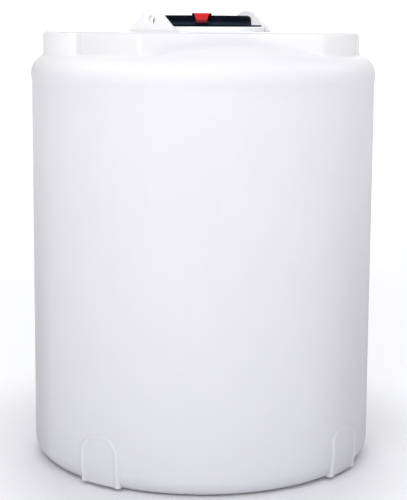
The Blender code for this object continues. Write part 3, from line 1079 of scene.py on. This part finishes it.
@dataclass
class Shell:
    """The tank's one moulded skin, from the floor up over the shoulder and the crown to the manway's bore."""

    wall_radius: float = WALL_RADIUS
    thickness: float = 0.007
    foot_rounding: float = FOOT_ROUNDING
    seam_height: float = 1.5663
    seam_radius: float = 0.7037
    seam_lip: float = 0.011
    seam_run: float = 0.026
    shoulder: float = 0.085
    shoulder_turn: float = 62.0
    crown_flat: float = CROWN_FLAT
    crown_side: float = 0.645
    crown_left: float = 0.655
    crown_right: float = 0.638
    crown_foot: float = 0.016
    panel_edge: float = 58.3
    step_angle: float = 0.5
    corner_blend: float = 0.020
    deck_height: float = DECK_HEIGHT
    deck_rounding: float = 0.016
    neck_radius: float = NECK_RADIUS
    neck_bore: float = 0.215
    neck_height: float = 0.022
    neck_rounding: float = 0.009
    neck_foot: float = 0.006
    bore_edge: float = 0.002
    bore_foot: float = 0.001
    rows: int = 432
    crowding: float = 0.5
    least_facing: float = 0.2
    sharp: float = 50.0

    @property
    def straight_limit(self) -> float:
        """The crown radius up to which the slope between the shoulder's arc and the crown's foot is straight."""
        reach = self.shoulder + self.crown_foot
        return self.seam_radius - self.shoulder + reach * math.cos(math.radians(self.shoulder_turn)) - self.crown_foot

    def _top_half(self, wall: float, depth: float) -> list[Point2]:
        """The section from the seam up over the shoulder, the crown's foot and wall, and the deck's rim.

        Args:
            wall: The crown's outer radius here.
            depth: How far below the outer face the points lie.

        Returns:
            The points, from the seam to the deck.
        """
        centre = (self.seam_radius - self.shoulder, self.seam_height + self.seam_lip)
        foot = self.crown_foot
        reach = self.shoulder + foot
        most = math.radians(self.shoulder_turn)
        turn = min(math.acos((wall + foot - centre[0]) / reach), most)
        end = (centre[0] + self.shoulder * math.cos(turn), centre[1] + self.shoulder * math.sin(turn))
        start_radius = wall + foot - foot * math.cos(turn)
        level = end[1] + (end[0] - start_radius) / math.tan(turn)
        degrees = math.degrees(turn)
        points = arc(centre, self.shoulder - depth, 0.0, degrees, 18)
        hollow_centre = (wall + foot, level + foot * math.sin(turn))
        hollow = arc(hollow_centre, foot + depth, 180.0 + degrees, 180.0, 9)
        points += between(points[-1], hollow[0], 12) + hollow
        rim = self.deck_height - self.deck_rounding
        points += between(hollow[-1], (wall - depth, rim), 4)
        return points + arc((wall - self.deck_rounding, rim), self.deck_rounding - depth, 0.0, 90.0, 8)

    def section(self, wall: float) -> list[Point2]:
        """The whole wall's line: up the outside from the axis, over the neck's rim and back down the inside.

        Args:
            wall: The crown's outer radius.

        Returns:
            The points, both ends on the axis.
        """
        side, thick, rounding = self.wall_radius, self.thickness, self.foot_rounding
        flat = side - rounding
        seam, lip, run = self.seam_height, self.seam_radius, self.seam_run
        line = [(0.0, 0.0), *between((0.0, 0.0), (flat, 0.0), 5)]
        line += arc((flat, rounding), rounding, -90.0, 0.0, 14)
        line += between((side, rounding), (side, seam - run), 24)
        shares = [0.5 - 0.5 * math.cos(math.pi * i / 8) for i in range(9)]
        line += [(side + (lip - side) * share, seam - run + run * i / 8) for i, share in enumerate(shares)]
        line += self._top_half(wall, 0.0)
        deck, neck, foot, turn = self.deck_height, self.neck_radius, self.neck_foot, self.neck_rounding
        top, bore = deck + self.neck_height, self.neck_bore
        line += between(line[-1], (neck + foot, deck), 8)
        line += arc((neck + foot, deck + foot), foot, -90.0, -180.0, 5)
        line += arc((neck - turn, top - turn), turn, 0.0, 90.0, 7)
        line += [(bore + self.bore_edge, top), (bore, top - self.bore_edge)]
        line += [(bore, deck - thick + self.bore_foot), (bore + self.bore_foot, deck - thick)]
        under = self._top_half(wall, thick)[::-1]
        line += between(line[-1], under[0], 6) + under
        line += between((side - thick, seam), (side - thick, rounding), 12)
        line += arc((flat, rounding), rounding - thick, 0.0, -90.0, 9)
        line += between((flat, thick), (0.0, thick), 4)
        return [*line, (0.0, thick)]

    def build(self, finishes: Finishes) -> None:
        """Turns the section round the axis by its rule: the crown is flat at the front and back, round between.

        Args:
            finishes: Every finish.
        """
        narrow, near, wide = self.crown_flat, self.straight_limit, self.crown_left
        sections = {"near": self.section(near), "narrow": self.section(narrow), "wide": self.section(wide)}
        source = section_mesh("shell_section", sections)
        turning = TurnedRecipe("moulded_shell", self.rows, self.crowding)
        recipe, skin, bearing = turning.start()
        flat = recipe.size("Flat face distance", self.crown_flat)
        corner_side = recipe.size("Side radius at the corners", self.crown_side)
        left = recipe.size("Left side radius", self.crown_left)
        right = recipe.size("Right side radius", self.crown_right)
        facing = abs(bearing.cosine())
        side = right + (left - right) * (bearing.sine() < 0.0)
        beside = facing.arcsine() * math.degrees(1.0)
        low = 90.0 - self.panel_edge
        share = beside.ramp(low - self.step_angle, low + self.step_angle)
        rounded = side + (corner_side - side) * share
        crown = (flat / facing.at_least(self.least_facing)).softly_below(rounded, self.corner_blend)
        spot = recipe.named("near", "FLOAT_VECTOR")
        vector_first, vector_second, vector_result = 4, 5, 1
        for name, end in (("narrow", narrow), ("wide", wide)):
            share = crown.ramp(near, end, "LINEAR")
            values = {0: share, vector_first: spot, vector_second: recipe.named(name, "FLOAT_VECTOR")}
            spot = recipe.node("ShaderNodeMix", {"data_type": "VECTOR"}, values, output=vector_result)
        result = turning.place(recipe, skin, bearing, spot)
        item = recipe.bake("tank_shell", source, result, finishes.white, self.sharp)
        nodes = ["bottom_end", "roof_deck", "manway_neck"]
        nodes += [name for name in frame["nodes"] if name.startswith(("wall_", "shoulder_", "crown_"))]
        put(item, Body.TANK, finishes.white, nodes)


@dataclass
class RepeatedRecipe:
    """Repeats a piece round the tank's axis."""

    name: str
    count: int
    first: float
    step: float
    shift: float = 0.0

    def bake(
        self, item_name: str, source: bpy.types.Mesh, material: bpy.types.Material, sharp: float
    ) -> bpy.types.Object:
        """Repeats a mesh that is built about -Y.

        Args:
            item_name: The new object's name.
            source: The mesh.
            material: Its material.
            sharp: The angle in degrees from which an edge stays sharp.

        Returns:
            The object.
        """
        recipe = Recipe(self.name)
        count = recipe.size("Count", self.count)
        first = recipe.size("First bearing", self.first)
        step = recipe.size("Bearing between two", self.step)
        shift = recipe.size("Shift of every second one", self.shift)
        spots = recipe.node("GeometryNodeMeshLine", {"mode": "OFFSET"}, {"Count": count, "Offset": (0.0, 0.0, 0.0)})
        index = recipe.node("GeometryNodeInputIndex", {}, {})
        turn = (first + index * step + index.remainder(2.0) * shift) * math.radians(1.0)
        values = {"Points": spots, "Instance": recipe.source, "Rotation": recipe.vector(0.0, 0.0, turn)}
        placed = recipe.node("GeometryNodeInstanceOnPoints", {}, values)
        return recipe.bake(item_name, source, placed, material, sharp)


@dataclass
class LiftingEyes:
    """Two moulded eyes that stand on the deck, with rounded edges and a hollow foot where they join it."""

    first: float = -47.8
    between: float = 182.0
    radius: float = 0.333
    width: float = 0.241
    height: float = 0.091
    thickness: float = 0.021
    eye: float = 0.0155
    eye_height: float = 0.047
    crest: float = 0.064
    edge: float = 0.004
    foot: float = 0.007
    deck: float = DECK_HEIGHT
    sunk: float = 0.002
    inset: float = 0.003
    corner_share: float = 0.9
    sharp: float = 50.0

    def _outline(self) -> list[Point2]:
        """The plate's outline, as (across, up) points.

        Returns:
            The points, which close on themselves.
        """
        centre = self.height - self.crest
        half = self.width / 2
        tangent = math.acos(self.crest / math.hypot(half, centre)) - math.atan2(centre, half)
        first = math.degrees(tangent)
        crest = arc((0.0, centre), self.crest, first, 180.0 - first, 40)
        return [(-half, -self.sunk), (half, -self.sunk), (half, 0.0), *crest, (-half, 0.0)]

    def _plate(self) -> bmesh.types.BMesh:
        """The plate with its eye, about the origin and across X, made from a flat curve with rounded edges.

        Returns:
            The mesh.
        """
        curve = bpy.data.curves.new("eye_plate", "CURVE")
        curve.dimensions = "2D"
        curve.fill_mode = "BOTH"
        curve.bevel_depth = self.edge
        curve.bevel_resolution = 4
        curve.offset = -self.edge
        curve.extrude = self.thickness / 2 - self.edge
        for outline in (self._outline(), arc((0.0, self.eye_height), self.eye, 0.0, 360.0, 40)[:-1]):
            line = curve.splines.new("POLY")
            line.points.add(len(outline) - 1)
            for point, (across, up) in zip(line.points, outline):
                point.co = (across, up, 0.0, 1.0)
            line.use_cyclic_u = True
        mesh = evaluated(linked("eye_plate", curve))
        bmesh.ops.rotate(mesh, verts=mesh.verts, matrix=Matrix.Rotation(math.pi / 2, 3, "X"))
        return mesh

    def _skirt(self) -> bmesh.types.BMesh:
        """The hollow rounding where the plate's foot meets the deck.

        Returns:
            The mesh.
        """
        half, deep, foot = self.width / 2 - self.edge, self.thickness / 2, self.foot
        corner = deep * self.corner_share
        hollow = arc((foot, foot), foot, -90.0, -180.0, 6)
        profile = [(-self.inset, -self.sunk), (foot, -self.sunk), *hollow, (-self.inset, foot)]
        rows = []
        for side, lift, start in ((1, -1, -90.0), (1, 1, 0.0), (-1, 1, 90.0), (-1, -1, 180.0)):
            centre = Vector((side * (half - corner), lift * (deep - corner), 0.0))
            for across, along in arc((0.0, 0.0), 1.0, start, start + 90.0, 6):
                way = Vector((across, along, 0.0))
                rows.append([centre + way * (corner + out) + Vector((0.0, 0.0, up)) for out, up in profile])
        return loft(rows, ring=True)

    def build(self, finishes: Finishes) -> None:
        """Makes the plate once and repeats it.

        Args:
            finishes: Every finish.
        """
        mesh = joined(self._plate(), self._skirt())
        bmesh.ops.translate(mesh, vec=at(0.0, self.radius, self.deck), verts=mesh.verts)
        repeat = RepeatedRecipe("eyes_on_the_deck", count=2, first=self.first, step=self.between)
        item = repeat.bake("moulded_lifting_eyes", plain_mesh("lifting_eye", mesh), finishes.white, self.sharp)
        put(item, Body.TANK, finishes.white, ["lifting_eye_front", "lifting_eye_back"])


@dataclass
class TieDownLugs:
    """Four arched lugs over the tank's lower edge, each a panel with a rib round it and a bulb at each foot."""

    first: float = -45.6
    step: float = 90.0
    shift: float = -0.9
    half_width: float = 0.095
    foot: float = 0.014
    spring: float = 0.142
    arch: float = 0.073
    bend: float = 0.100
    draft: float = 0.0165
    panel: float = 0.004
    rib: float = 0.0045
    rib_fade: float = 0.88
    panel_fade: float = 0.78
    rib_place: float = 0.86
    rib_spread: float = 0.064
    bulb: float = 0.005
    bulb_spread: float = 0.12
    bulb_height: float = 0.014
    edge: float = 0.0035
    sunk: float = 0.0015
    wall_radius: float = WALL_RADIUS
    foot_rounding: float = FOOT_ROUNDING
    columns: int = 96
    rows: int = 84
    sharp: float = 55.0

    def _surface(self, height: float) -> float:
        """The radius of the tank's own side at this height.

        Args:
            height: The height.

        Returns:
            The radius.
        """
        rounding = self.foot_rounding
        drop = max(rounding - height, 0.0)
        return self.wall_radius - rounding + math.sqrt(rounding**2 - drop**2)

    def _radius(self, across: float, height: float) -> float:
        """The lug's outer radius, at a share of its half width and a height.

        Args:
            across: The share of the half width, from -1 to 1.
            height: The height.

        Returns:
            The radius.
        """
        over = min(max(height - self.spring, 0.0) / self.arch, 1.0)
        reach = min(math.hypot(across, over), 1.0)
        rib = math.exp(-(((reach - self.rib_place) / self.rib_spread) ** 2)) * (1.0 - self.rib_fade * over)
        beside = (abs(across) - self.rib_place) / self.bulb_spread
        above = (height - self.foot) / self.bulb_height
        bend = max(self.bend - height, 0.0) / self.bend
        near_edge = max(1.0 - (1.0 - reach) * self.half_width / self.edge, 0.0)
        near_foot = min(max(1.0 - (height - self.foot) / self.edge, 0.0), 1.0)
        fall = self.edge * (2.0 - math.sqrt(1.0 - near_edge**2) - math.sqrt(1.0 - near_foot**2))
        relief = (self.panel - fall) * (1.0 - self.panel_fade * over)
        face = self.wall_radius + relief - self.draft * bend**2
        return face + self.rib * rib + self.bulb * math.exp(-(beside**2) - above**2)

    def _mesh(self) -> bmesh.types.BMesh:
        """One lug about -Y.

        Returns:
            The mesh.
        """
        rows = []
        for i in range(self.columns + 1):
            across = math.sin(math.pi * (i / self.columns - 0.5))
            bearing = math.degrees(across * self.half_width / self.wall_radius)
            top = self.spring + self.arch * math.sqrt(max(1.0 - across * across, 0.0))
            shares = [0.5 - 0.5 * math.cos(math.pi * k / self.rows) for k in range(self.rows + 1)]
            heights = [self.foot + (top - self.foot) * share for share in shares]
            row = [at(bearing, self._radius(across, height), height) for height in heights]
            row += [at(bearing, self._surface(height) - self.sunk, height) for height in heights[::-6]]
            rows.append(row)
        return loft(rows)

    def build(self, finishes: Finishes) -> None:
        """Makes one lug and repeats it near the four diagonals, in two opposite pairs.

        Args:
            finishes: Every finish.
        """
        repeat = RepeatedRecipe("lugs_round_the_foot", count=4, first=self.first, step=self.step, shift=self.shift)
        source = plain_mesh("tie_down_lug", self._mesh())
        item = repeat.bake("moulded_tie_down_lugs", source, finishes.white, self.sharp)
        nodes = [name for name in frame["nodes"] if name.startswith("tie_down_")]
        put(item, Body.TANK, finishes.white, nodes)


@dataclass
class Lid:
    """The black manway lid, with its brim and the hinge's knuckle behind it."""

    bearing: float = LID_BEARING
    low: float = 1.7693
    top: float = 1.8135
    radius: float = 0.2005
    rounding: float = 0.017
    thickness: float = 0.005
    aside: float = 0.0055
    aside_bearing: float = -101.3
    brim_radius: float = 0.2435
    brim_thickness: float = 0.006
    brim_hollow: float = 0.004
    nick: float = 0.001
    dish_radius: float = 0.150
    dish_depth: float = 0.0025
    dish_slope: tuple[Point2, ...] = ((-0.010, 1.0), (-0.006, 0.85), (0.0, 0.5), (0.006, 0.15), (0.010, 0.0))
    under_run: float = 0.012
    under_rise: float = 0.0005
    hinge_radius: float = HINGE_RADIUS
    hinge_height: float = HINGE_HEIGHT
    knuckle: float = 0.008
    knuckle_width: float = HINGE_WIDTH
    knuckle_edge: float = 0.0012
    tab_inset: float = 0.020
    tab_low: float = 0.0008
    tab_rise: float = 0.003
    tab_edge: float = 0.0015
    rows: int = 160
    sharp: float = 50.0

    def section(self) -> list[Point2]:
        """The dome's and the brim's line, from the axis on top to the axis below.

        Returns:
            The points.
        """
        low, top, thick, nick = self.low, self.top, self.thickness, self.nick
        dish, deep = self.dish_radius, self.dish_depth
        slope = [(dish + out, top - deep * share) for out, share in self.dish_slope]
        line = [(0.0, top - deep), *between((0.0, top - deep), slope[0], 4), *slope]
        shoulder = (self.radius - self.rounding, top - self.rounding)
        line += arc(shoulder, self.rounding, 90.0, 0.0, 10)
        hollow, edge = self.brim_hollow, self.brim_thickness / 2
        line += arc((self.radius + nick + hollow, low + self.brim_thickness + hollow), hollow, 180.0, 270.0, 5)
        line += arc((self.brim_radius - edge, low + edge), edge, 90.0, -90.0, 8)
        inner = self.radius - thick
        line += [(inner + nick, low), (inner, low + nick)]
        line += arc(shoulder, self.rounding - thick, 0.0, 90.0, 8)
        under = top - thick - deep
        line += [(dish, under + self.under_rise), *between((dish - self.under_run, under), (0.0, under), 3)]
        return [*line, (0.0, under)]

    def build(self, finishes: Finishes) -> None:
        """Turns the lid and adds its knuckle.

        Args:
            finishes: Every finish.
        """
        turning = TurnedRecipe("turned_lid", rows=self.rows)
        recipe, skin, bearing = turning.start()
        result = turning.place(recipe, skin, bearing, recipe.named("line", "FLOAT_VECTOR"))
        source = section_mesh("lid_section", {"line": self.section()})
        item = recipe.bake("domed_lid", source, result, finishes.black, self.sharp)
        item.data.transform(Matrix.Translation(at(self.aside_bearing, self.aside, 0.0)))
        put(item, Body.LID, finishes.black, ["manway_lid"])
        half = self.knuckle_width / 2
        tab_low = (-half, self.brim_radius - self.tab_inset, self.low + self.tab_low)
        tab_high = (half, self.hinge_radius, self.low + self.brim_thickness + self.tab_rise)
        tab = block(tab_low, tab_high, self.tab_edge)
        pin = (0.0, self.hinge_radius, self.hinge_height)
        knuckle = rod(self.knuckle, self.knuckle_width, pin, self.knuckle_edge)
        item = finished("lid_knuckle", turned_about(joined(tab, knuckle), self.bearing))
        put(item, Body.LID, finishes.black, [])


@dataclass
class Latch:
    """The red lever in front of the lid, and the lid's black ears and wall round it."""

    bearing: float = LID_BEARING
    radius: float = 0.2085
    height: float = 1.787
    foot_width: float = 0.040
    head_width: float = 0.060
    reach: float = 0.035
    thickness: float = 0.009
    corner: float = 0.003
    knuckle: float = 0.006
    knuckle_edge: float = 0.001
    edge: float = 0.0014
    rounded_from: float = 0.5
    clearance: float = 0.006
    ear_thickness: float = 0.0045
    ear_reach: float = 0.007
    ear_top: float = 0.034
    ear_foot: float = -0.0157
    back_low: float = 0.009
    back_top: float = 0.0345
    back_radius: float = 0.199
    root_radius: float = 0.186

    def _plate(self, outline: Sequence[Point2], front: float, back: float) -> bmesh.types.BMesh:
        """An upright plate with rounded edges.

        Args:
            outline: Its (across, above the pin) points.
            front: Its outer face's distance from the tank's axis.
            back: Its inner face's distance.

        Returns:
            The mesh.
        """
        rows = [[Vector((across, -far, self.height + up)) for across, up in outline] for far in (front, back)]
        mesh = loft(rows)
        bmesh.ops.recalc_face_normals(mesh, faces=mesh.faces)
        corners = [edge for edge in mesh.edges if edge.calc_face_angle(0.0) > self.rounded_from]
        bmesh.ops.bevel(mesh, geom=corners, offset=self.edge, segments=3, profile=0.5, affect="EDGES")
        return mesh

    def _beside(self, rise: float) -> float:
        """How far from the middle an ear's inner face is at this height above the pin."""
        slope = (self.head_width - self.foot_width) / 2 / self.reach
        return self.foot_width / 2 + self.clearance + slope * max(rise, 0.0)

    def _ear(self, side: int) -> bmesh.types.BMesh:
        """One of the two ears that flank the lever up to its top.

        Args:
            side: -1 for the left one and 1 for the right one.

        Returns:
            The mesh.
        """
        heights = (self.ear_top, 0.0, self.ear_foot)
        inner = [(side * self._beside(rise), rise) for rise in heights]
        outer = [(side * (self._beside(rise) + self.ear_thickness), rise) for rise in heights[::-1]]
        return self._plate(inner + outer, self.radius + self.ear_reach, self.root_radius)

    def _back(self) -> bmesh.types.BMesh:
        """The wall behind the lever, between the ears.

        Returns:
            The mesh.
        """
        thick = self.ear_thickness / 2
        wide, narrow = self._beside(self.back_top) + thick, self._beside(self.back_low) + thick
        outline = [(-narrow, self.back_low), (narrow, self.back_low), (wide, self.back_top), (-wide, self.back_top)]
        return self._plate(outline, self.back_radius, self.root_radius)

    def _lever(self) -> bmesh.types.BMesh:
        """The lever's plate.

        Returns:
            The mesh.
        """
        foot, head, top = self.foot_width / 2, self.head_width / 2, self.reach
        right = [(foot, 0.0), (head, top - self.corner), (head - self.corner, top)]
        outline = right + [(-across, up) for across, up in right[::-1]]
        return self._plate(outline, self.radius + self.thickness / 2, self.radius - self.thickness / 2)

    def build(self, finishes: Finishes) -> None:
        """Makes the lever with its knuckle, and the ears and the wall that ride with the lid.

        Args:
            finishes: Every finish.
        """
        knuckle = rod(self.knuckle, self.foot_width, (0.0, -self.radius, self.height), self.knuckle_edge)
        item = finished("red_lever", turned_about(joined(self._lever(), knuckle), self.bearing))
        put(item, Body.LATCH, finishes.red, ["latch_lever"])
        guard = joined(self._ear(-1), self._ear(1), self._back())
        item = finished("latch_guard", turned_about(guard, self.bearing))
        put(item, Body.LID, finishes.black, [])


@dataclass
class HingeBracket:
    """The plate behind the neck with two ears for the lid's pin."""

    bearing: float = LID_BEARING
    deck: float = FITTING_HEIGHT
    neck_radius: float = NECK_RADIUS
    neck_gap: float = 0.0065
    radius: float = HINGE_RADIUS
    height: float = HINGE_HEIGHT
    knuckle_width: float = HINGE_WIDTH
    gap: float = 0.005
    ear_thickness: float = 0.008
    ear_reach: float = 0.008
    ear_foot: float = 0.002
    plate_thickness: float = 0.005
    plate_back: float = 0.016
    edge: float = 0.0012

    def build(self, finishes: Finishes) -> None:
        """Makes the plate and its ears.

        Args:
            finishes: Every finish.
        """
        near = self.knuckle_width / 2 + self.gap
        far = near + self.ear_thickness
        low = (-far, self.neck_radius + self.neck_gap, self.deck)
        high = (far, self.radius + self.plate_back, self.deck + self.plate_thickness)
        parts = [block(low, high, self.edge)]
        for left in (-far, near):
            right = left + self.ear_thickness
            start = (left, self.radius - self.ear_reach, self.deck + self.ear_foot)
            parts.append(block(start, (right, self.radius + self.ear_reach, self.height), self.edge))
            middle = ((left + right) / 2, self.radius, self.height)
            parts.append(rod(self.ear_reach, self.ear_thickness, middle, self.edge))
        item = finished("lid_hinge", turned_about(joined(*parts), self.bearing))
        put(item, Body.TANK, finishes.grey, ["lid_hinge_bracket"])


@dataclass
class SmallFittings:
    """The block at the neck's right side and the two pins."""

    clip_bearing: float = 78.7
    clip_radius: float = 0.2507
    clip_size: Point3 = (0.030, 0.014, 0.028)
    clip_edge: float = 0.002
    deck: float = FITTING_HEIGHT

    def build(self, finishes: Finishes) -> None:
        """Makes the block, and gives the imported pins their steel.

        Args:
            finishes: Every finish.
        """
        wide, deep, high = self.clip_size
        low = (-wide / 2, -self.clip_radius - deep, self.deck)
        mesh = block(low, (wide / 2, -self.clip_radius, self.deck + high), self.clip_edge)
        item = finished("neck_side_clip", turned_about(mesh, self.clip_bearing))
        put(item, Body.TANK, finishes.grey, ["neck_clip"])
        for name in ("lid_hinge_pin", "latch_pin"):
            pin = bpy.data.objects[name]
            for slot in pin.material_slots:
                slot.material = finishes.steel
            log.info("%s: kept, in steel", name)


@dataclass(frozen=True)
class SoftBox:
    """A rectangular light that looks at a point on the tank's axis."""

    name: str
    bearing: float
    distance: float
    height: float
    aim: float
    size: Point2
    power: float

    def build(self, colour: Colour) -> None:
        """Adds the light.

        Args:
            colour: The light's colour.
        """
        data = bpy.data.lights.new(self.name, "AREA")
        data.shape = "RECTANGLE"
        data.size, data.size_y = self.size
        data.energy = self.power
        data.color = colour
        item = linked(self.name, data)
        place = at(self.bearing, self.distance, self.height)
        item.location = place
        item.rotation_euler = (Vector((0.0, 0.0, self.aim)) - place).to_track_quat("-Z", "Y").to_euler()


@dataclass
class Studio:
    """The camera, the lights, the world, the floor and the backdrop."""

    view_bearing: float = -11.3
    focal_px: float = 1341.05
    centre_px: Point2 = (202.30, 215.0)
    frame_px: Point2 = (407.0, 500.0)
    sensor: float = 36.0
    clip_end: float = 900.0
    pitch: float = 8.1558
    roll: float = 0.3625
    distance: float = 5.553
    eye_height: float = 1.78348
    floor_half: float = 300.0
    floor_drop: float = 0.0005
    backdrop_radius: float = 60.0
    backdrop_height: float = 40.0
    backdrop_sunk: float = 0.5
    light_colour: Colour = (0.98, 0.985, 1.0)
    soft_boxes: tuple[SoftBox, ...] = (
        SoftBox("soft_front", bearing=-26.0, distance=3.6, height=3.3, aim=1.2, size=(2.6, 1.6), power=33.0),
        SoftBox("soft_left", bearing=-85.0, distance=2.0, height=2.9, aim=1.5, size=(1.0, 0.7), power=4.1),
        SoftBox("soft_right", bearing=70.0, distance=2.0, height=2.9, aim=1.5, size=(1.0, 0.7), power=9.4),
    )
    sun_strength: float = 0.95
    sun_tilt: float = 60.0
    sun_spread: float = 40.0
    surround_colour: Colour = (0.985, 0.988, 1.0)
    surround_strength: float = 1.03
    front_gain: float = 0.595
    behind_loss: float = 0.275
    side_loss: float = 1.0
    straight_behind: Fade = Fade(0.955, 0.985, 0.9)

    def camera(self) -> None:
        """Sets the camera at the photograph's place and angle."""
        data = bpy.data.cameras.new("photo_camera")
        data.sensor_width = self.sensor
        long_side = max(self.frame_px)
        data.lens = self.focal_px * self.sensor / long_side
        data.shift_x = (self.frame_px[0] / 2 - self.centre_px[0]) / long_side
        data.shift_y = (self.centre_px[1] - self.frame_px[1] / 2) / long_side
        data.clip_end = self.clip_end
        item = linked("photo_camera", data)
        item.location = at(self.view_bearing, self.distance, self.eye_height)
        turn = Matrix.Rotation(math.radians(self.view_bearing), 4, "Z")
        tilt = Matrix.Rotation(math.radians(90.0 - self.pitch), 4, "X")
        lean = Matrix.Rotation(math.radians(self.roll), 4, "Z")
        item.rotation_euler = (turn @ tilt @ lean).to_euler()
        bpy.context.scene.camera = item

    def lights(self) -> None:
        """Sets a soft box in front, a small one high at each side, and soft light from behind for the floor."""
        for box in self.soft_boxes:
            box.build(self.light_colour)
        data = bpy.data.lights.new("soft_behind", "SUN")
        data.energy = self.sun_strength
        data.angle = math.radians(self.sun_spread)
        data.color = self.light_colour
        tilt = math.radians(self.sun_tilt)
        way = at(self.view_bearing + 180.0, math.sin(tilt), math.cos(tilt))
        linked("soft_behind", data).rotation_euler = way.to_track_quat("Z", "Y").to_euler()

    def surround(self) -> None:
        """Sets the world: white behind the tank, soft in front and overhead, and dim at the sides."""
        world = bpy.data.worlds.new("studio_surround")
        world.use_nodes = True
        graph = Graph(world.node_tree)
        ways = graph.node("ShaderNodeTexCoord", {}, {}, output="Generated")
        turn = math.radians(self.view_bearing)
        ahead = ways.part("Y") * math.cos(turn) - ways.part("X") * math.sin(turn)
        right = ways.part("X") * math.cos(turn) + ways.part("Y") * math.sin(turn)
        strength = self.surround_strength + (-ahead).ramp(0.0, 1.0) * self.front_gain
        strength = strength - ahead.ramp(0.0, 1.0) * self.behind_loss - abs(right).ramp(0.0, 1.0) * self.side_loss
        back = world.node_tree.nodes["Background"]
        graph.join(back.inputs["Color"], self.surround_colour)
        graph.join(back.inputs["Strength"], strength + self.straight_behind.rise(ahead))
        bpy.context.scene.world = world

    def floor(self) -> None:
        """Adds the plain pale floor."""
        mesh = bmesh.new()
        bmesh.ops.create_grid(mesh, x_segments=8, y_segments=8, size=self.floor_half)
        bmesh.ops.translate(mesh, vec=(0.0, 0.0, -self.floor_drop), verts=mesh.verts)
        item = finished("studio_floor", mesh)
        item.data.materials.append(StudioFloor().material())

    def backdrop(self) -> None:
        """Adds a far white wall all round, which shows behind the tank from any side and lights nothing."""
        mesh = bmesh.new()
        radius, high = self.backdrop_radius, self.backdrop_height
        bmesh.ops.create_cone(mesh, cap_ends=False, segments=96, radius1=radius, radius2=radius, depth=high)
        bmesh.ops.translate(mesh, vec=(0.0, 0.0, high / 2 - self.backdrop_sunk), verts=mesh.verts)
        item = finished("studio_backdrop", mesh)
        item.data.materials.append(StudioBackdrop().material())
        item.visible_diffuse = item.visible_glossy = False
        item.visible_transmission = item.visible_shadow = False

    def build(self) -> None:
        """Builds the studio."""
        self.camera()
        self.lights()
        self.surround()
        self.floor()
        self.backdrop()
        bpy.context.scene.view_settings.view_transform = "Standard"


def main() -> None:
    """Builds the tank's pieces in order, then the studio."""
    logging.basicConfig(level=logging.INFO, format="%(message)s")
    finishes = Finishes.make()
    for assembly in (Shell(), LiftingEyes(), TieDownLugs(), Lid(), Latch(), HingeBracket(), SmallFittings()):
        assembly.build(finishes)
    Studio().build()


if __name__ == "__main__":
    main()
